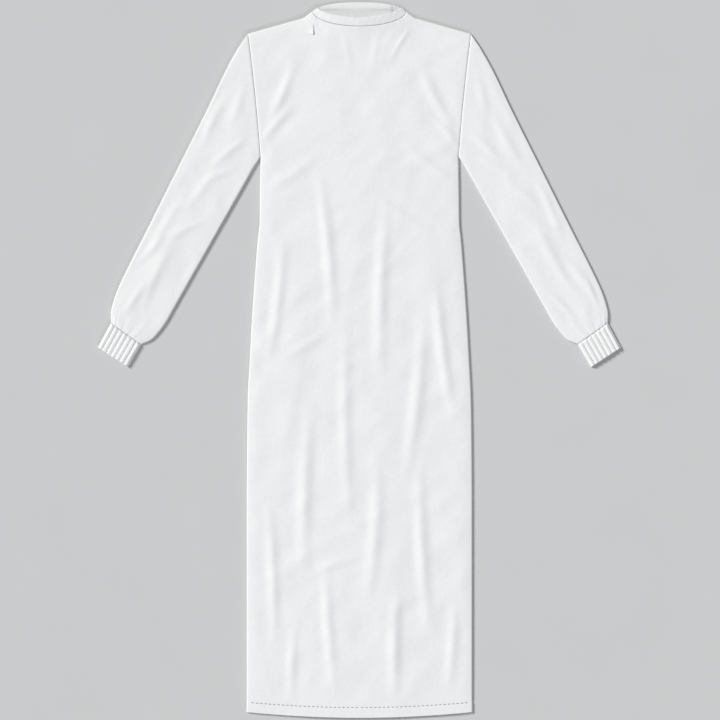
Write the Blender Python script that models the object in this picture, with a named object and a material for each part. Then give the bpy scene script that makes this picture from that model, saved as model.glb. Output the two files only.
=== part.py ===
"""A disposable gown laid flat on a surface with its front upwards.

Eight pieces: the front, two back halves that lap over each other under it, two set-in sleeves,
two rib-knit cuffs and the neckband. X runs towards the wearer's left, Y towards the neck and Z up.
The origin is on the surface, under the middle of the gown. Every length is in metres.
"""

import math

import bpy
import numpy as np

# Thicknesses of the cloth and of the gaps
WALL = 0.0012
KNIT_WALL = 0.0014
SEAM_GAP = 0.0003
SEWN_LAYER_GAP = 0.0008

# The outline, as half widths and heights above the middle of the gown
BACK_NECK_Y = 0.6261
NECK_SIDE = (0.0735, 0.6166)
BAND_FOOT = (0.0814, 0.6105)
SHOULDER_BEND = (0.0971, 0.5984)
SHOULDER_TIP = (0.1951, 0.5708)
UNDERARM = (0.1733, 0.3560)
ARMHOLE_BOW = 0.0016
HEM_CORNER = (0.1974, -0.6162)
HEM_DROP = 0.0099
HEM_TURN = 0.0175
HEM_RELIEF = 0.0005

# Neckline: the front edge dips to a shallow point, the seam below it is half an ellipse
FRONT_NECK_Y = 0.5970
FRONT_NECK_SLOPE = 0.14
FRONT_NECK_POWER = 6.5
BACK_NECK_POWER = 2.8
BAND_SEAM_DEPTH = 0.0270
BACK_SEAM_RISE = 0.0025
BAND_WIDTH_SHARE = 0.975
BAND_HEAD_REACH = 0.955
BAND_SIDE_PLACES = ((0.0620, 0.0655), (0.0660, 0.0740))

# How the neckband's fold runs on into the layer behind it and the one in front of it
BACK_WAY = (-1.0, 0.0)
FRONT_WAY_AT_HEAD = (-0.72, -0.69)
FRONT_WAY_AT_FOOT = (0.0, -1.0)

# The back halves reach this far past the centre, the wearer's left one nearest the surface
LAP = 0.0580
LAP_RAMP = 0.0140
LAP_LIFT = WALL + SEAM_GAP

# How high the cloth stands off the layer below
FRONT_LOFT = 0.0018
LOFT_MOST = 0.0030
SIDE_ROLL = 0.030
SHOULDER_ROLL = 0.022
HEM_ROLL = 0.060
HEM_LOFT_SHARE = 0.35
SLEEVE_EDGE = 0.0022
SLEEVE_HEIGHT = 0.0048
SLEEVE_ROLL = 0.024
SLEEVE_BLEND = 0.080
CUFF_EDGE = 0.0021
CUFF_HEIGHT = 0.0046
CUFF_ROLL = 0.010

# Cuff ribs, and the gathers of the sleeve where it is eased into the cuff
RIBS = 7
RIB_HEIGHT = 0.0009
RIB_POWER = 0.8
GATHERS = 6
GATHER_HEIGHT = 0.0008
GATHER_REACH = 0.045

# The side seam from hem to underarm
SIDE_SEAM_COLUMNS = ("y", "half_width")
SIDE_SEAM = (
    (-0.6162, 0.1974),
    (-0.2460, 0.1974),
    (-0.1600, 0.1969),
    (-0.0700, 0.1957),
    (0.0000, 0.1922),
    (0.0700, 0.1884),
    (0.1400, 0.1836),
    (0.2090, 0.1782),
    (0.2400, 0.1750),
    (0.3000, 0.1743),
    (0.3560, 0.1733),
)

# The sleeve, as sections from armhole to cuff: the share of its length, then its folded edges
SLEEVE_COLUMNS = ("share", "outer_x", "outer_y", "inner_x", "inner_y")
SLEEVE = (
    (0.00, 0.1951, 0.5708, 0.1733, 0.3560),
    (0.06, 0.2146, 0.5415, 0.1860, 0.3360),
    (0.12, 0.2338, 0.5065, 0.1985, 0.3140),
    (0.25, 0.2625, 0.4460, 0.2235, 0.2698),
    (0.45, 0.3190, 0.3330, 0.2610, 0.2035),
    (0.65, 0.3715, 0.2280, 0.2975, 0.1390),
    (0.79, 0.4110, 0.1495, 0.3240, 0.0920),
    (0.86, 0.4250, 0.1185, 0.3400, 0.0640),
    (0.91, 0.4315, 0.0985, 0.3510, 0.0492),
    (0.96, 0.4352, 0.0810, 0.3650, 0.0350),
    (1.00, 0.4347, 0.0650, 0.3820, 0.0276),
)
CUFF_OUTER_CORNER = (0.4578, 0.0220)
CUFF_INNER_CORNER = (0.4053, -0.0123)

# The largest soft folds: middle x and y, heading in degrees from X, length, half width, height
FRONT_FOLDS = (
    (0.118, 0.400, 128, 0.170, 0.020, 0.0013),
    (-0.112, 0.386, 50, 0.190, 0.023, 0.0012),
    (0.126, 0.130, 96, 0.420, 0.026, 0.0011),
    (-0.120, -0.030, 86, 0.520, 0.030, 0.0012),
    (0.052, -0.430, 93, 0.360, 0.028, 0.0010),
    (-0.040, -0.500, 85, 0.260, 0.024, 0.0009),
    (0.010, 0.270, 84, 0.300, 0.032, 0.0009),
)
LEFT_SLEEVE_FOLDS = (
    (0.222, 0.400, -72, 0.150, 0.018, 0.0010),
    (0.300, 0.250, -60, 0.260, 0.020, 0.0010),
    (0.385, 0.105, -62, 0.120, 0.016, 0.0008),
)
RIGHT_SLEEVE_FOLDS = (
    (0.228, 0.372, -66, 0.170, 0.018, 0.0010),
    (0.322, 0.222, -63, 0.240, 0.019, 0.0009),
    (0.378, 0.128, -56, 0.140, 0.016, 0.0009),
)

# Mesh spacing
BODY_ROWS = 21
BACK_ROWS = 9
SIDE_LINE_FOOT = -0.25
SIDE_LINE_POINTS = 9
NECK_SHARES_NEAR_CENTRE = (0.0, 0.20, 0.40, 0.57)
NECK_SHARES_NEAR_SIDE = (0.952, 0.986)
LAP_COLUMNS = 6
BACK_SHARES = (0.0, 0.5, 1.0)
ARMHOLE_SHARES = (0.0, 0.22, 0.44, 0.64, 0.80, 0.90, 0.96, 1.0)
SHOULDER_SHARES = (0.0, 0.30, 0.55, 0.75, 0.88, 0.95, 1.0)
FOLD_ANGLES = (45.0, 0.0, -45.0)
ROLL_SHARES = (0.0, 0.25, 0.6)
ROLL_MOST_OF_WIDTH = 0.2
SLEEVE_TOP_POINTS = 12
UNDERSIDE_POINTS = 8
SLEEVE_SHARES_NEAR_ARMHOLE = (0.0, 0.03, 0.07)
SLEEVE_MIDDLE = (0.12, 0.84)
SLEEVE_MIDDLE_SECTIONS = 9
SLEEVE_SHARES_NEAR_CUFF = (0.88, 0.91, 0.935, 0.96, 0.98, 1.0)
STEPS_TO_A_RIB = 4
CUFF_SECTIONS = 4
BAND_LAP_COLUMNS = 7
BAND_ROWS = 4
BAND_FOLD_ANGLES = (0.0, 45.0, 90.0, 135.0, 180.0)
BAND_TURN_START = 45.0
BAND_TURN_SPAN = 90.0

CLOTH_COLOUR = (0.86, 0.87, 0.88, 1.0)
KNIT_COLOUR = (0.83, 0.83, 0.82, 1.0)
CLOTH_ROUGHNESS = 0.75
KNIT_ROUGHNESS = 0.85
SHARP_EDGE_DEGREES = 40.0


def clear_scene():
    """Removes the objects of the startup scene."""
    for found in list(bpy.data.objects):
        bpy.data.objects.remove(found)


def smooth_step(t):
    """Eases from 0 to 1 as t does."""
    t = np.clip(t, 0.0, 1.0)
    return t * t * (3.0 - 2.0 * t)


def quarter_round(t):
    """A quarter of a circle: steep at 0 and level from 1 on."""
    t = np.clip(t, 0.0, 1.0)
    return np.sqrt(np.maximum(0.0, 1.0 - (1.0 - t) ** 2))


def smooth_through(stations, values, at):
    """A smooth curve through a table's values, without overshoot, read at the places asked for."""
    steps = np.diff(stations)
    slopes = np.diff(values) / steps
    product = slopes[:-1] * slopes[1:]
    total = slopes[:-1] + slopes[1:]
    safe_total = np.where(product > 0.0, total, 1.0)
    inner = np.where(product > 0.0, 2.0 * product / safe_total, 0.0)
    tangents = np.concatenate([slopes[:1], inner, slopes[-1:]])
    at = np.clip(np.asarray(at, float), stations[0], stations[-1])
    left = np.clip(np.searchsorted(stations, at, side="right") - 1, 0, len(steps) - 1)
    t = (at - stations[left]) / steps[left]
    start = values[left] * (1.0 + 2.0 * t) * (1.0 - t) ** 2
    end = values[left + 1] * t * t * (3.0 - 2.0 * t)
    leaving = tangents[left] * steps[left] * t * (1.0 - t) ** 2
    arriving = tangents[left + 1] * steps[left] * t * t * (t - 1.0)
    return start + end + leaving + arriving


def table_column(table, columns, name):
    """One named column of a table."""
    return np.array([row[columns.index(name)] for row in table])


def side_half_width(y):
    """Half the body's width at a height below the underarm."""
    stations = table_column(SIDE_SEAM, SIDE_SEAM_COLUMNS, "y")
    widths = table_column(SIDE_SEAM, SIDE_SEAM_COLUMNS, "half_width")
    return smooth_through(stations, widths, y)


def armhole(share):
    """The armhole seam from the underarm at 0 to the shoulder tip at 1, bowed to the centre."""
    x = UNDERARM[0] + (SHOULDER_TIP[0] - UNDERARM[0]) * share
    y = UNDERARM[1] + (SHOULDER_TIP[1] - UNDERARM[1]) * share
    return np.stack([x - ARMHOLE_BOW * np.sin(math.pi * share), y], axis=-1)


def hem(x):
    """The hem's height: a shallow parabola, lowest at the centre."""
    return HEM_CORNER[1] - HEM_DROP * (1.0 - (x / HEM_CORNER[0]) ** 2)


def front_neckline(x):
    """The neckband's upper edge in front."""
    turn = NECK_SIDE[1] - FRONT_NECK_Y - FRONT_NECK_SLOPE * NECK_SIDE[0]
    bend = turn * (np.abs(x) / NECK_SIDE[0]) ** FRONT_NECK_POWER
    return FRONT_NECK_Y + FRONT_NECK_SLOPE * np.abs(x) + bend


def back_neckline(x):
    """The neckband's upper edge behind."""
    rise = BACK_NECK_Y - NECK_SIDE[1]
    return BACK_NECK_Y - rise * (np.abs(x) / NECK_SIDE[0]) ** BACK_NECK_POWER


def front_band_seam(x, gap=0.0):
    """The seam between neckband and front, half an ellipse, or a line set off below it."""
    share = np.clip(np.abs(x) / (BAND_FOOT[0] + gap), 0.0, 1.0)
    return BAND_FOOT[1] - (BAND_SEAM_DEPTH + gap) * np.sqrt(1.0 - share**2)


def back_band_seam(x):
    """The seam between neckband and back."""
    return BAND_FOOT[1] + BACK_SEAM_RISE * (1.0 - (x / BAND_FOOT[0]) ** 2)


def shoulder_height(x):
    """The shoulder's upper edge, with its bend towards the neck."""
    line_x = [NECK_SIDE[0], BAND_FOOT[0], SHOULDER_BEND[0], SHOULDER_TIP[0]]
    line_y = [NECK_SIDE[1], BAND_FOOT[1], SHOULDER_BEND[1], SHOULDER_TIP[1]]
    return np.interp(x, line_x, line_y)


def front_top(x):
    """The front's upper edge: just below the band seam at the neck, then along the shoulder."""
    at_neck = front_band_seam(x, SEAM_GAP)
    return np.minimum(np.where(x < BAND_FOOT[0], at_neck, 1.0), shoulder_height(x))


def back_top(x):
    """A back half's upper edge: just below the band seam at the neck, then along the shoulder."""
    at_neck = back_band_seam(x) - SEAM_GAP
    return np.minimum(np.where(x < BAND_FOOT[0], at_neck, 1.0), shoulder_height(np.abs(x)))


def distance_to_line(x, y, line):
    """The least distance in plan from each place to a line of points."""
    best = np.full(np.shape(x), np.inf)
    for (ax, ay), (bx, by) in zip(line[:-1], line[1:]):
        dx = bx - ax
        dy = by - ay
        t = np.clip(((x - ax) * dx + (y - ay) * dy) / (dx * dx + dy * dy), 0.0, 1.0)
        best = np.minimum(best, np.hypot(x - ax - t * dx, y - ay - t * dy))
    return best


def fold_heights(x, y, folds):
    """The height that soft straight ridges add, each fading at its ends."""
    total = np.zeros(np.shape(x))
    for middle_x, middle_y, heading, length, half_width, height in folds:
        turn = math.radians(heading)
        along = (x - middle_x) * math.cos(turn) + (y - middle_y) * math.sin(turn)
        across = (y - middle_y) * math.cos(turn) - (x - middle_x) * math.sin(turn)
        ends = np.clip(1.0 - (2.0 * along / length) ** 2, 0.0, 1.0) ** 1.5
        total += height * ends * np.exp(-((across / half_width) ** 2))
    return total


def lap_lift(x):
    """How far the inner back half is lifted where it lies on the outer one."""
    return LAP_LIFT * smooth_step((x + LAP + SEAM_GAP + LAP_RAMP) / LAP_RAMP)


def front_base(x):
    """The lowest place for the front's underside, just above the back halves."""
    sewn = WALL + SEWN_LAYER_GAP
    lapped = LAP_LIFT + WALL + SEAM_GAP
    start = LAP + 2.0 * SEAM_GAP + 2.0 * LAP_RAMP
    left_ramp = smooth_step((x + start) / LAP_RAMP)
    right_ramp = 1.0 - smooth_step((x - LAP - 2.0 * SEAM_GAP) / LAP_RAMP)
    return sewn + (lapped - sewn) * np.minimum(left_ramp, right_ramp)


def front_underside(x, y):
    """The height of the front's underside: low at the side and shoulder seams, lofted between."""
    heights = np.linspace(SIDE_LINE_FOOT, UNDERARM[1], SIDE_LINE_POINTS)
    side_line = [HEM_CORNER] + [(float(side_half_width(v)), float(v)) for v in heights]
    shoulder_line = [SHOULDER_TIP, SHOULDER_BEND, BAND_FOOT, NECK_SIDE]
    from_side = distance_to_line(np.abs(x), y, side_line)
    from_shoulder = distance_to_line(np.abs(x), y, shoulder_line)
    rolled = quarter_round(from_side / SIDE_ROLL) * quarter_round(from_shoulder / SHOULDER_ROLL)
    above_hem = smooth_step((y - hem(x)) / HEM_ROLL)
    share = HEM_LOFT_SHARE + (1.0 - HEM_LOFT_SHARE) * above_hem
    loft = np.minimum(FRONT_LOFT + fold_heights(x, y, FRONT_FOLDS), LOFT_MOST)
    return front_base(x) + loft * rolled * share


def neck_shares():
    """The places of mesh columns across half the neck, as shares of its half width."""
    reach = BAND_FOOT[0] + SEAM_GAP
    lap_edge = (LAP + 2.0 * SEAM_GAP) / reach
    ramp_end = (LAP + 2.0 * SEAM_GAP + LAP_RAMP) / reach
    middle = (lap_edge + ramp_end) / 2.0
    near_lap = (lap_edge, middle, ramp_end)
    return list(NECK_SHARES_NEAR_CENTRE + near_lap + NECK_SHARES_NEAR_SIDE)


def columns_beyond_neck(shares):
    """The places of mesh columns from the neck's side to the armhole."""
    reach = BAND_FOOT[0] + SEAM_GAP
    front_ramp_start = LAP + 2.0 * SEAM_GAP + 2.0 * LAP_RAMP
    bend = SHOULDER_BEND[0]
    span = SHOULDER_TIP[0] - SEAM_GAP / 2.0 - bend
    return [reach, front_ramp_start] + [bend + span * share for share in shares]


def body_rows(rows, armhole_shares):
    """The places up the side and the armhole at which the mesh rows end."""
    below = np.linspace(HEM_CORNER[1], UNDERARM[1], rows, endpoint=False)
    turn = HEM_CORNER[1] + HEM_TURN
    below = np.concatenate([below[:1], [turn, turn + WALL], below[1:]])
    seam = np.stack([side_half_width(below), below], axis=-1)
    outer = np.concatenate([seam, armhole(np.array(armhole_shares))])
    return outer - np.array([SEAM_GAP / 2.0, 0.0])


def body_plan(columns, outer, top_line):
    """Plan places of a body panel.

    Each column runs from the hem to the top line. Columns within the shoulder's bend run
    straight up, and the others lean with the side seam and the armhole.
    """
    columns = np.array(columns)
    bend = SHOULDER_BEND[0]
    lean = np.clip((columns - bend) / (columns[-1] - bend), 0.0, 1.0)
    climb = (outer[:, 1] - outer[0, 1]) / (outer[-1, 1] - outer[0, 1])
    x = columns[None, :] + lean[None, :] * (outer[:, :1] - columns[-1])
    foot = hem(x[0])
    y = foot[None, :] + (top_line(columns) - foot)[None, :] * climb[:, None]
    return np.stack([x, y], axis=-1)


def closed_wall(outer, inner, ring):
    """A closed mesh between an outer and an inner grid of points.

    Rows run along the piece. With ring, each row closes on itself, and the wall is a tube.
    """
    rows, columns = outer.shape[:2]
    points = np.concatenate([outer.reshape(-1, 3), inner.reshape(-1, 3)])
    shift = rows * columns
    index = np.arange(shift).reshape(rows, columns)
    faces = []
    last = columns if ring else columns - 1
    for c in range(last):
        d = (c + 1) % columns
        for r in range(rows - 1):
            quad = [index[r, c], index[r, d], index[r + 1, d], index[r + 1, c]]
            faces.append(quad)
            faces.append([corner + shift for corner in quad[::-1]])
        faces.append([index[0, d], index[0, c], index[0, c] + shift, index[0, d] + shift])
        faces.append([index[-1, c], index[-1, d], index[-1, d] + shift, index[-1, c] + shift])
    if not ring:
        for r in range(rows - 1):
            low = index[r]
            high = index[r + 1]
            faces.append([low[0], high[0], high[0] + shift, low[0] + shift])
            faces.append([high[-1], low[-1], low[-1] + shift, high[-1] + shift])
    return points, faces


def add_piece(name, outer, inner, material, ring=False):
    """One piece of cloth as an object of its own, its faces pointing outwards."""
    points, faces = closed_wall(outer, inner, ring)
    mesh = bpy.data.meshes.new(name)
    mesh.from_pydata(points.tolist(), [], [[int(i) for i in face] for face in faces])
    mesh.materials.append(material)
    corners = points[np.array(faces)]
    volume = np.linalg.det(corners[:, [0, 1, 2]]).sum() + np.linalg.det(corners[:, [0, 2, 3]]).sum()
    if volume < 0.0:
        mesh.flip_normals()
    mesh.update()
    mesh.shade_smooth()
    mesh.set_sharp_from_angle(angle=math.radians(SHARP_EDGE_DEGREES))
    piece = bpy.data.objects.new(name, mesh)
    bpy.context.scene.collection.objects.link(piece)
    return piece


def make_material(name, colour, roughness):
    """A plain dielectric cloth."""
    material = bpy.data.materials.new(name)
    material.use_nodes = True
    shader = material.node_tree.nodes["Principled BSDF"]
    shader.inputs["Base Color"].default_value = colour
    shader.inputs["Roughness"].default_value = roughness
    shader.inputs["Metallic"].default_value = 0.0
    return material


def with_height(plan, height):
    """Plan places with a height added to each."""
    return np.concatenate([plan, height[..., None]], axis=-1)


def add_front(material):
    """The front panel, with the turned-up hem standing a little proud."""
    reach = BAND_FOOT[0] + SEAM_GAP
    columns = [share * reach for share in neck_shares()] + columns_beyond_neck(SHOULDER_SHARES)
    half = body_plan(columns, body_rows(BODY_ROWS, ARMHOLE_SHARES), front_top)
    mirrored = half[:, :0:-1] * np.array([-1.0, 1.0])
    plan = np.concatenate([mirrored, half], axis=1)
    under = front_underside(plan[..., 0], plan[..., 1])
    over = under + WALL
    over[:2] += HEM_RELIEF
    return add_piece("front", with_height(plan, over), with_height(plan, under), material)


def add_back(name, side, lifted, material):
    """One back half, from its free edge past the centre to its side seam."""
    across_lap = list(np.linspace(-LAP, LAP + SEAM_GAP, LAP_COLUMNS))
    ramp = [LAP + SEAM_GAP + LAP_RAMP / 2.0, LAP + SEAM_GAP + LAP_RAMP]
    columns = across_lap + ramp + columns_beyond_neck(BACK_SHARES)
    plan = body_plan(columns, body_rows(BACK_ROWS, ARMHOLE_SHARES), back_top)
    plan = plan * np.array([side, 1.0])
    under = lap_lift(plan[..., 0]) if lifted else np.zeros(plan.shape[:2])
    return add_piece(name, with_height(plan, under + WALL), with_height(plan, under), material)


def fold_points(centre, radius, height, facing):
    """Points round a folded edge, in order from the top down, as distances across and heights."""
    points = []
    for angle in FOLD_ANGLES:
        turn = math.radians(angle)
        points.append((centre + facing * radius * math.cos(turn), height + radius * math.sin(turn)))
    return points


def tube_ring(width, edge, wall, top_places, top_heights, relief):
    """The outer and inner outlines of a flattened tube, as distances across and heights.

    The underside is flat on the surface, and the folds are half circles of radius edge. The
    relief is added to the outer top alone.
    """
    under_places = np.linspace(width - edge, edge, UNDERSIDE_POINTS)
    outlines = []
    for radius, top, under in (
        (edge, top_heights + relief, 0.0),
        (edge - wall, top_heights - wall, wall),
    ):
        outline = list(zip(top_places, top))
        outline += fold_points(width - edge, radius, edge, 1.0)
        outline += [(place, under) for place in under_places]
        outline += fold_points(edge, radius, edge, -1.0)[::-1]
        outlines.append(np.array(outline))
    return outlines


def place_ring(outline, start, heading, width, bow):
    """An outline across a tube set into the plan, its middle bowed towards the centre."""
    across = outline[:, 0]
    plan = start + across[:, None] * heading
    plan[:, 0] -= bow * np.sin(math.pi * np.clip(across / width, 0.0, 1.0))
    return with_height(plan, outline[:, 1])


def sleeve_edges(share):
    """The two folded edges of the wearer's left sleeve at a share of its length."""
    stations = table_column(SLEEVE, SLEEVE_COLUMNS, "share")
    places = [
        float(smooth_through(stations, table_column(SLEEVE, SLEEVE_COLUMNS, name), share))
        for name in SLEEVE_COLUMNS[1:]
    ]
    return np.array(places[:2]), np.array(places[2:])


def top_places_across(width, edge, roll, middle_points):
    """Distances across the top of a flattened tube, closer together at both folds."""
    near = [edge + share * roll for share in ROLL_SHARES]
    middle = np.linspace(edge + roll, width - edge - roll, middle_points)
    far = [width - place for place in near[::-1]]
    return np.concatenate([near, middle, far])


def sleeve_ring(share, side, folds):
    """The outer and inner rings of points round a sleeve at a share of its length."""
    start, end = sleeve_edges(share)
    length = math.dist(SHOULDER_TIP, CUFF_OUTER_CORNER)
    at_armhole = float(1.0 - smooth_step(share * length / SLEEVE_BLEND))
    at_cuff = float(smooth_step(1.0 - (1.0 - share) * length / GATHER_REACH))
    start = start + np.array([at_armhole * SEAM_GAP / 2.0, 0.0])
    end = end + np.array([at_armhole * SEAM_GAP / 2.0, 0.0])
    width = math.dist(start, end)
    heading = (end - start) / width
    seam_edge = WALL + SEWN_LAYER_GAP / 2.0
    edge = SLEEVE_EDGE + (seam_edge - SLEEVE_EDGE) * at_armhole
    edge += (CUFF_EDGE - SLEEVE_EDGE) * at_cuff
    roll = min(SLEEVE_ROLL, ROLL_MOST_OF_WIDTH * width)
    across = top_places_across(width, edge, roll, SLEEVE_TOP_POINTS)
    bow = ARMHOLE_BOW * at_armhole
    plan = start + across[:, None] * heading
    plan[:, 0] -= bow * np.sin(math.pi * across / width)
    climb = quarter_round((np.minimum(across, width - across) - edge) / roll)
    own = SLEEVE_HEIGHT + fold_heights(plan[:, 0], plan[:, 1], folds)
    own += (CUFF_HEIGHT - own) * at_cuff
    own = 2.0 * edge + (own - 2.0 * edge) * climb
    seam = front_underside(plan[:, 0] * side, plan[:, 1]) + WALL
    top = seam * at_armhole + own * (1.0 - at_armhole)
    wave = np.maximum(0.0, np.sin(2.0 * math.pi * GATHERS * across / width))
    relief = GATHER_HEIGHT * at_cuff * wave * climb
    rings = tube_ring(width, edge, WALL, across, top, relief)
    return [place_ring(ring, start, heading, width, bow) for ring in rings]


def add_tube(name, side, rings, material):
    """A tube of cloth from its rings, on the wearer's left as built or mirrored to the right."""
    mirror = np.array([side, 1.0, 1.0])
    outer = np.array([ring[0] for ring in rings]) * mirror
    inner = np.array([ring[1] for ring in rings]) * mirror
    return add_piece(name, outer, inner, material, ring=True)


def add_sleeve(name, side, folds, material):
    """A set-in sleeve: a flattened tube from the armhole seam to the gathers at the cuff."""
    shares = list(SLEEVE_SHARES_NEAR_ARMHOLE)
    shares += list(np.linspace(*SLEEVE_MIDDLE, SLEEVE_MIDDLE_SECTIONS))
    shares += list(SLEEVE_SHARES_NEAR_CUFF)
    rings = [sleeve_ring(share, side, folds) for share in shares]
    return add_tube(name, side, rings, material)


def cuff_ring(share):
    """The outer and inner rings of points round a cuff at a share of its length."""
    seam_outer, seam_inner = sleeve_edges(1.0)
    corner_outer = np.array(CUFF_OUTER_CORNER)
    corner_inner = np.array(CUFF_INNER_CORNER)
    gap_share = SEAM_GAP / math.dist(seam_outer, corner_outer)
    along = gap_share + (1.0 - gap_share) * share
    start = seam_outer + (corner_outer - seam_outer) * along
    end = seam_inner + (corner_inner - seam_inner) * along
    width = math.dist(start, end)
    heading = (end - start) / width
    steps = np.arange(2, STEPS_TO_A_RIB * RIBS - 1) / (STEPS_TO_A_RIB * RIBS)
    across = np.concatenate([[CUFF_EDGE], steps * width, [width - CUFF_EDGE]])
    climb = quarter_round((np.minimum(across, width - across) - CUFF_EDGE) / CUFF_ROLL)
    top = 2.0 * CUFF_EDGE + (CUFF_HEIGHT - 2.0 * CUFF_EDGE) * climb
    ribs = np.abs(np.sin(math.pi * RIBS * across / width)) ** RIB_POWER
    ribs[0] = 0.0
    ribs[-1] = 0.0
    rings = tube_ring(width, CUFF_EDGE, KNIT_WALL, across, top, RIB_HEIGHT * ribs)
    return [place_ring(ring, start, heading, width, 0.0) for ring in rings]


def add_cuff(name, side, material):
    """A rib-knit cuff: a flattened tube whose top stands up in ribs."""
    rings = [cuff_ring(share) for share in np.linspace(0.0, 1.0, CUFF_SECTIONS)]
    return add_tube(name, side, rings, material)


def band_back_places(side):
    """X of the strip's upper and lower edge behind the neck, from its end to one side's fold."""
    places = [(x, x) for x in np.linspace(-LAP, LAP + SEAM_GAP, BAND_LAP_COLUMNS)]
    places += BAND_SIDE_PLACES
    return [(side * head, side * foot) for head, foot in places]


def band_layer_point(head_x, foot_x, across, layer):
    """One point of the strip's middle surface where it lies flat."""
    if layer == "front":
        head = np.array([head_x, front_neckline(head_x)])
        foot = np.array([foot_x, front_band_seam(foot_x)])
    else:
        head = np.array([head_x, back_neckline(head_x)])
        foot = np.array([foot_x, back_band_seam(foot_x)])
    plan = head + (foot - head) * across
    if layer == "front":
        height = front_underside(plan[0], plan[1])
    elif layer == "inner":
        height = lap_lift(plan[0])
    else:
        height = 0.0
    return [plan[0], plan[1], float(height) + WALL / 2.0]


def band_fold_point(side, angle, across):
    """One point of the strip's middle surface round its fold at one side of the neck.

    The angle runs from 0 on the back layer to 180 on the front one.
    """
    head = np.array(NECK_SIDE)
    foot = np.array(BAND_FOOT)
    line = head + (foot - head) * across
    edge = (foot - head) / math.dist(foot, head)
    inwards = np.array([edge[1], -edge[0]])
    low = WALL / 2.0
    high = float(front_underside(side * line[0], line[1])) + WALL / 2.0
    radius = (high - low) / 2.0
    turn = math.radians(angle)
    inset = radius * (1.0 - math.sin(turn)) + WALL / 2.0
    back_way = np.array(BACK_WAY)
    front_way = np.array(FRONT_WAY_AT_HEAD) * (1.0 - across) + np.array(FRONT_WAY_AT_FOOT) * across
    back_way = back_way / np.dot(back_way, inwards)
    front_way = front_way / np.dot(front_way, inwards)
    to_front = min(1.0, max(0.0, (angle - BAND_TURN_START) / BAND_TURN_SPAN))
    way = back_way * (1.0 - to_front) + front_way * to_front
    plan = line + way * inset
    height = (high + low) / 2.0 - radius * math.cos(turn)
    return [side * plan[0], plan[1], height]


def band_row(across):
    """The strip's middle surface along its whole course, at a share across it."""
    shares = neck_shares()
    reach = NECK_SIDE[0] * BAND_HEAD_REACH / shares[-1]
    half = [(share * reach, share * BAND_FOOT[0]) for share in shares]
    whole = half[::-1] + [(-head, -foot) for head, foot in half[1:]]
    row = []
    for head_x, foot_x in band_back_places(1.0):
        row.append(band_layer_point(head_x, foot_x, across, "outer"))
    for angle in BAND_FOLD_ANGLES:
        row.append(band_fold_point(1.0, angle, across))
    for head_x, foot_x in whole:
        row.append(band_layer_point(head_x, foot_x, across, "front"))
    for angle in BAND_FOLD_ANGLES[::-1]:
        row.append(band_fold_point(-1.0, angle, across))
    for head_x, foot_x in band_back_places(-1.0)[::-1]:
        row.append(band_layer_point(head_x, foot_x, across, "inner"))
    return row


def add_neckband(material):
    """The neck binding: one strip folded flat at both sides of the neck, its ends lapped."""
    shares = np.linspace(0.0, BAND_WIDTH_SHARE, BAND_ROWS)
    grid = np.array([band_row(share) for share in shares])
    along = np.gradient(grid, axis=1)
    across = np.gradient(grid, axis=0)
    normal = np.cross(along, across)
    normal /= np.linalg.norm(normal, axis=2, keepdims=True)
    outer = grid + normal * WALL / 2.0
    inner = grid - normal * WALL / 2.0
    return add_piece("neckband", outer, inner, material)


def main():
    """Builds the gown."""
    clear_scene()
    cloth = make_material("gown_cloth", CLOTH_COLOUR, CLOTH_ROUGHNESS)
    knit = make_material("cuff_knit", KNIT_COLOUR, KNIT_ROUGHNESS)
    add_front(cloth)
    add_back("back_left", 1.0, False, cloth)
    add_back("back_right", -1.0, True, cloth)
    add_neckband(cloth)
    add_sleeve("sleeve_left", 1.0, LEFT_SLEEVE_FOLDS, cloth)
    add_sleeve("sleeve_right", -1.0, RIGHT_SLEEVE_FOLDS, cloth)
    add_cuff("cuff_left", 1.0, knit)
    add_cuff("cuff_right", -1.0, knit)


main()
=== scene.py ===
"""A disposable gown laid flat on a pale floor with its front upwards.

X runs towards the wearer's left, Y towards the neck and Z up. Lengths are in metres, but in the
tables of folds, creases and gathers they are in millimetres.
"""

import math

import bpy
import numpy as np
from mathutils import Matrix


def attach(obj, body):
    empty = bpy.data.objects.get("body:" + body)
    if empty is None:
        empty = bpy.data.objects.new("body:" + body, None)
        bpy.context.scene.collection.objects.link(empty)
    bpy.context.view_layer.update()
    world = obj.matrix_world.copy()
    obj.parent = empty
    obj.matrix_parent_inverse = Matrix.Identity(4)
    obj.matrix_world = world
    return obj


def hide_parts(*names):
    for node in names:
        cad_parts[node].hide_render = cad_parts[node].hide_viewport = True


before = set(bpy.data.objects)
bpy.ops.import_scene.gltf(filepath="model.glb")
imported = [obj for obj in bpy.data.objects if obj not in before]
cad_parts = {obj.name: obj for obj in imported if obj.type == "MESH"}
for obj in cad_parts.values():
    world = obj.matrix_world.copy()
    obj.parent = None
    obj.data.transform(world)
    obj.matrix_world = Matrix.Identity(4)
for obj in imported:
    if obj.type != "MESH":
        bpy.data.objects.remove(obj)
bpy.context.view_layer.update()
scene = bpy.context.scene

FULL_TURN = 2.0 * math.pi

# Thicknesses of the solid cloth and of the gaps in the outline
WALL = 0.0012
SEAM_GAP = 0.0003
SEWN_LAYER_GAP = 0.0008

# Thicknesses of the cloth, the rib knit and the neck binding as they are
CLOTH = 0.0004
KNIT = 0.0010
BINDING = 0.0009

# The outline, as half widths and heights above the middle of the gown
BACK_NECK_Y = 0.6261
NECK_SIDE = (0.0735, 0.6166)
BAND_FOOT = (0.0814, 0.6105)
SHOULDER_BEND = (0.0971, 0.5984)
SHOULDER_TIP = (0.1951, 0.5708)
UNDERARM = (0.1733, 0.3560)
ARMHOLE_BOW = 0.0016
HEM_CORNER = (0.1974, -0.6162)
HEM_DROP = 0.0099

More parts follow.
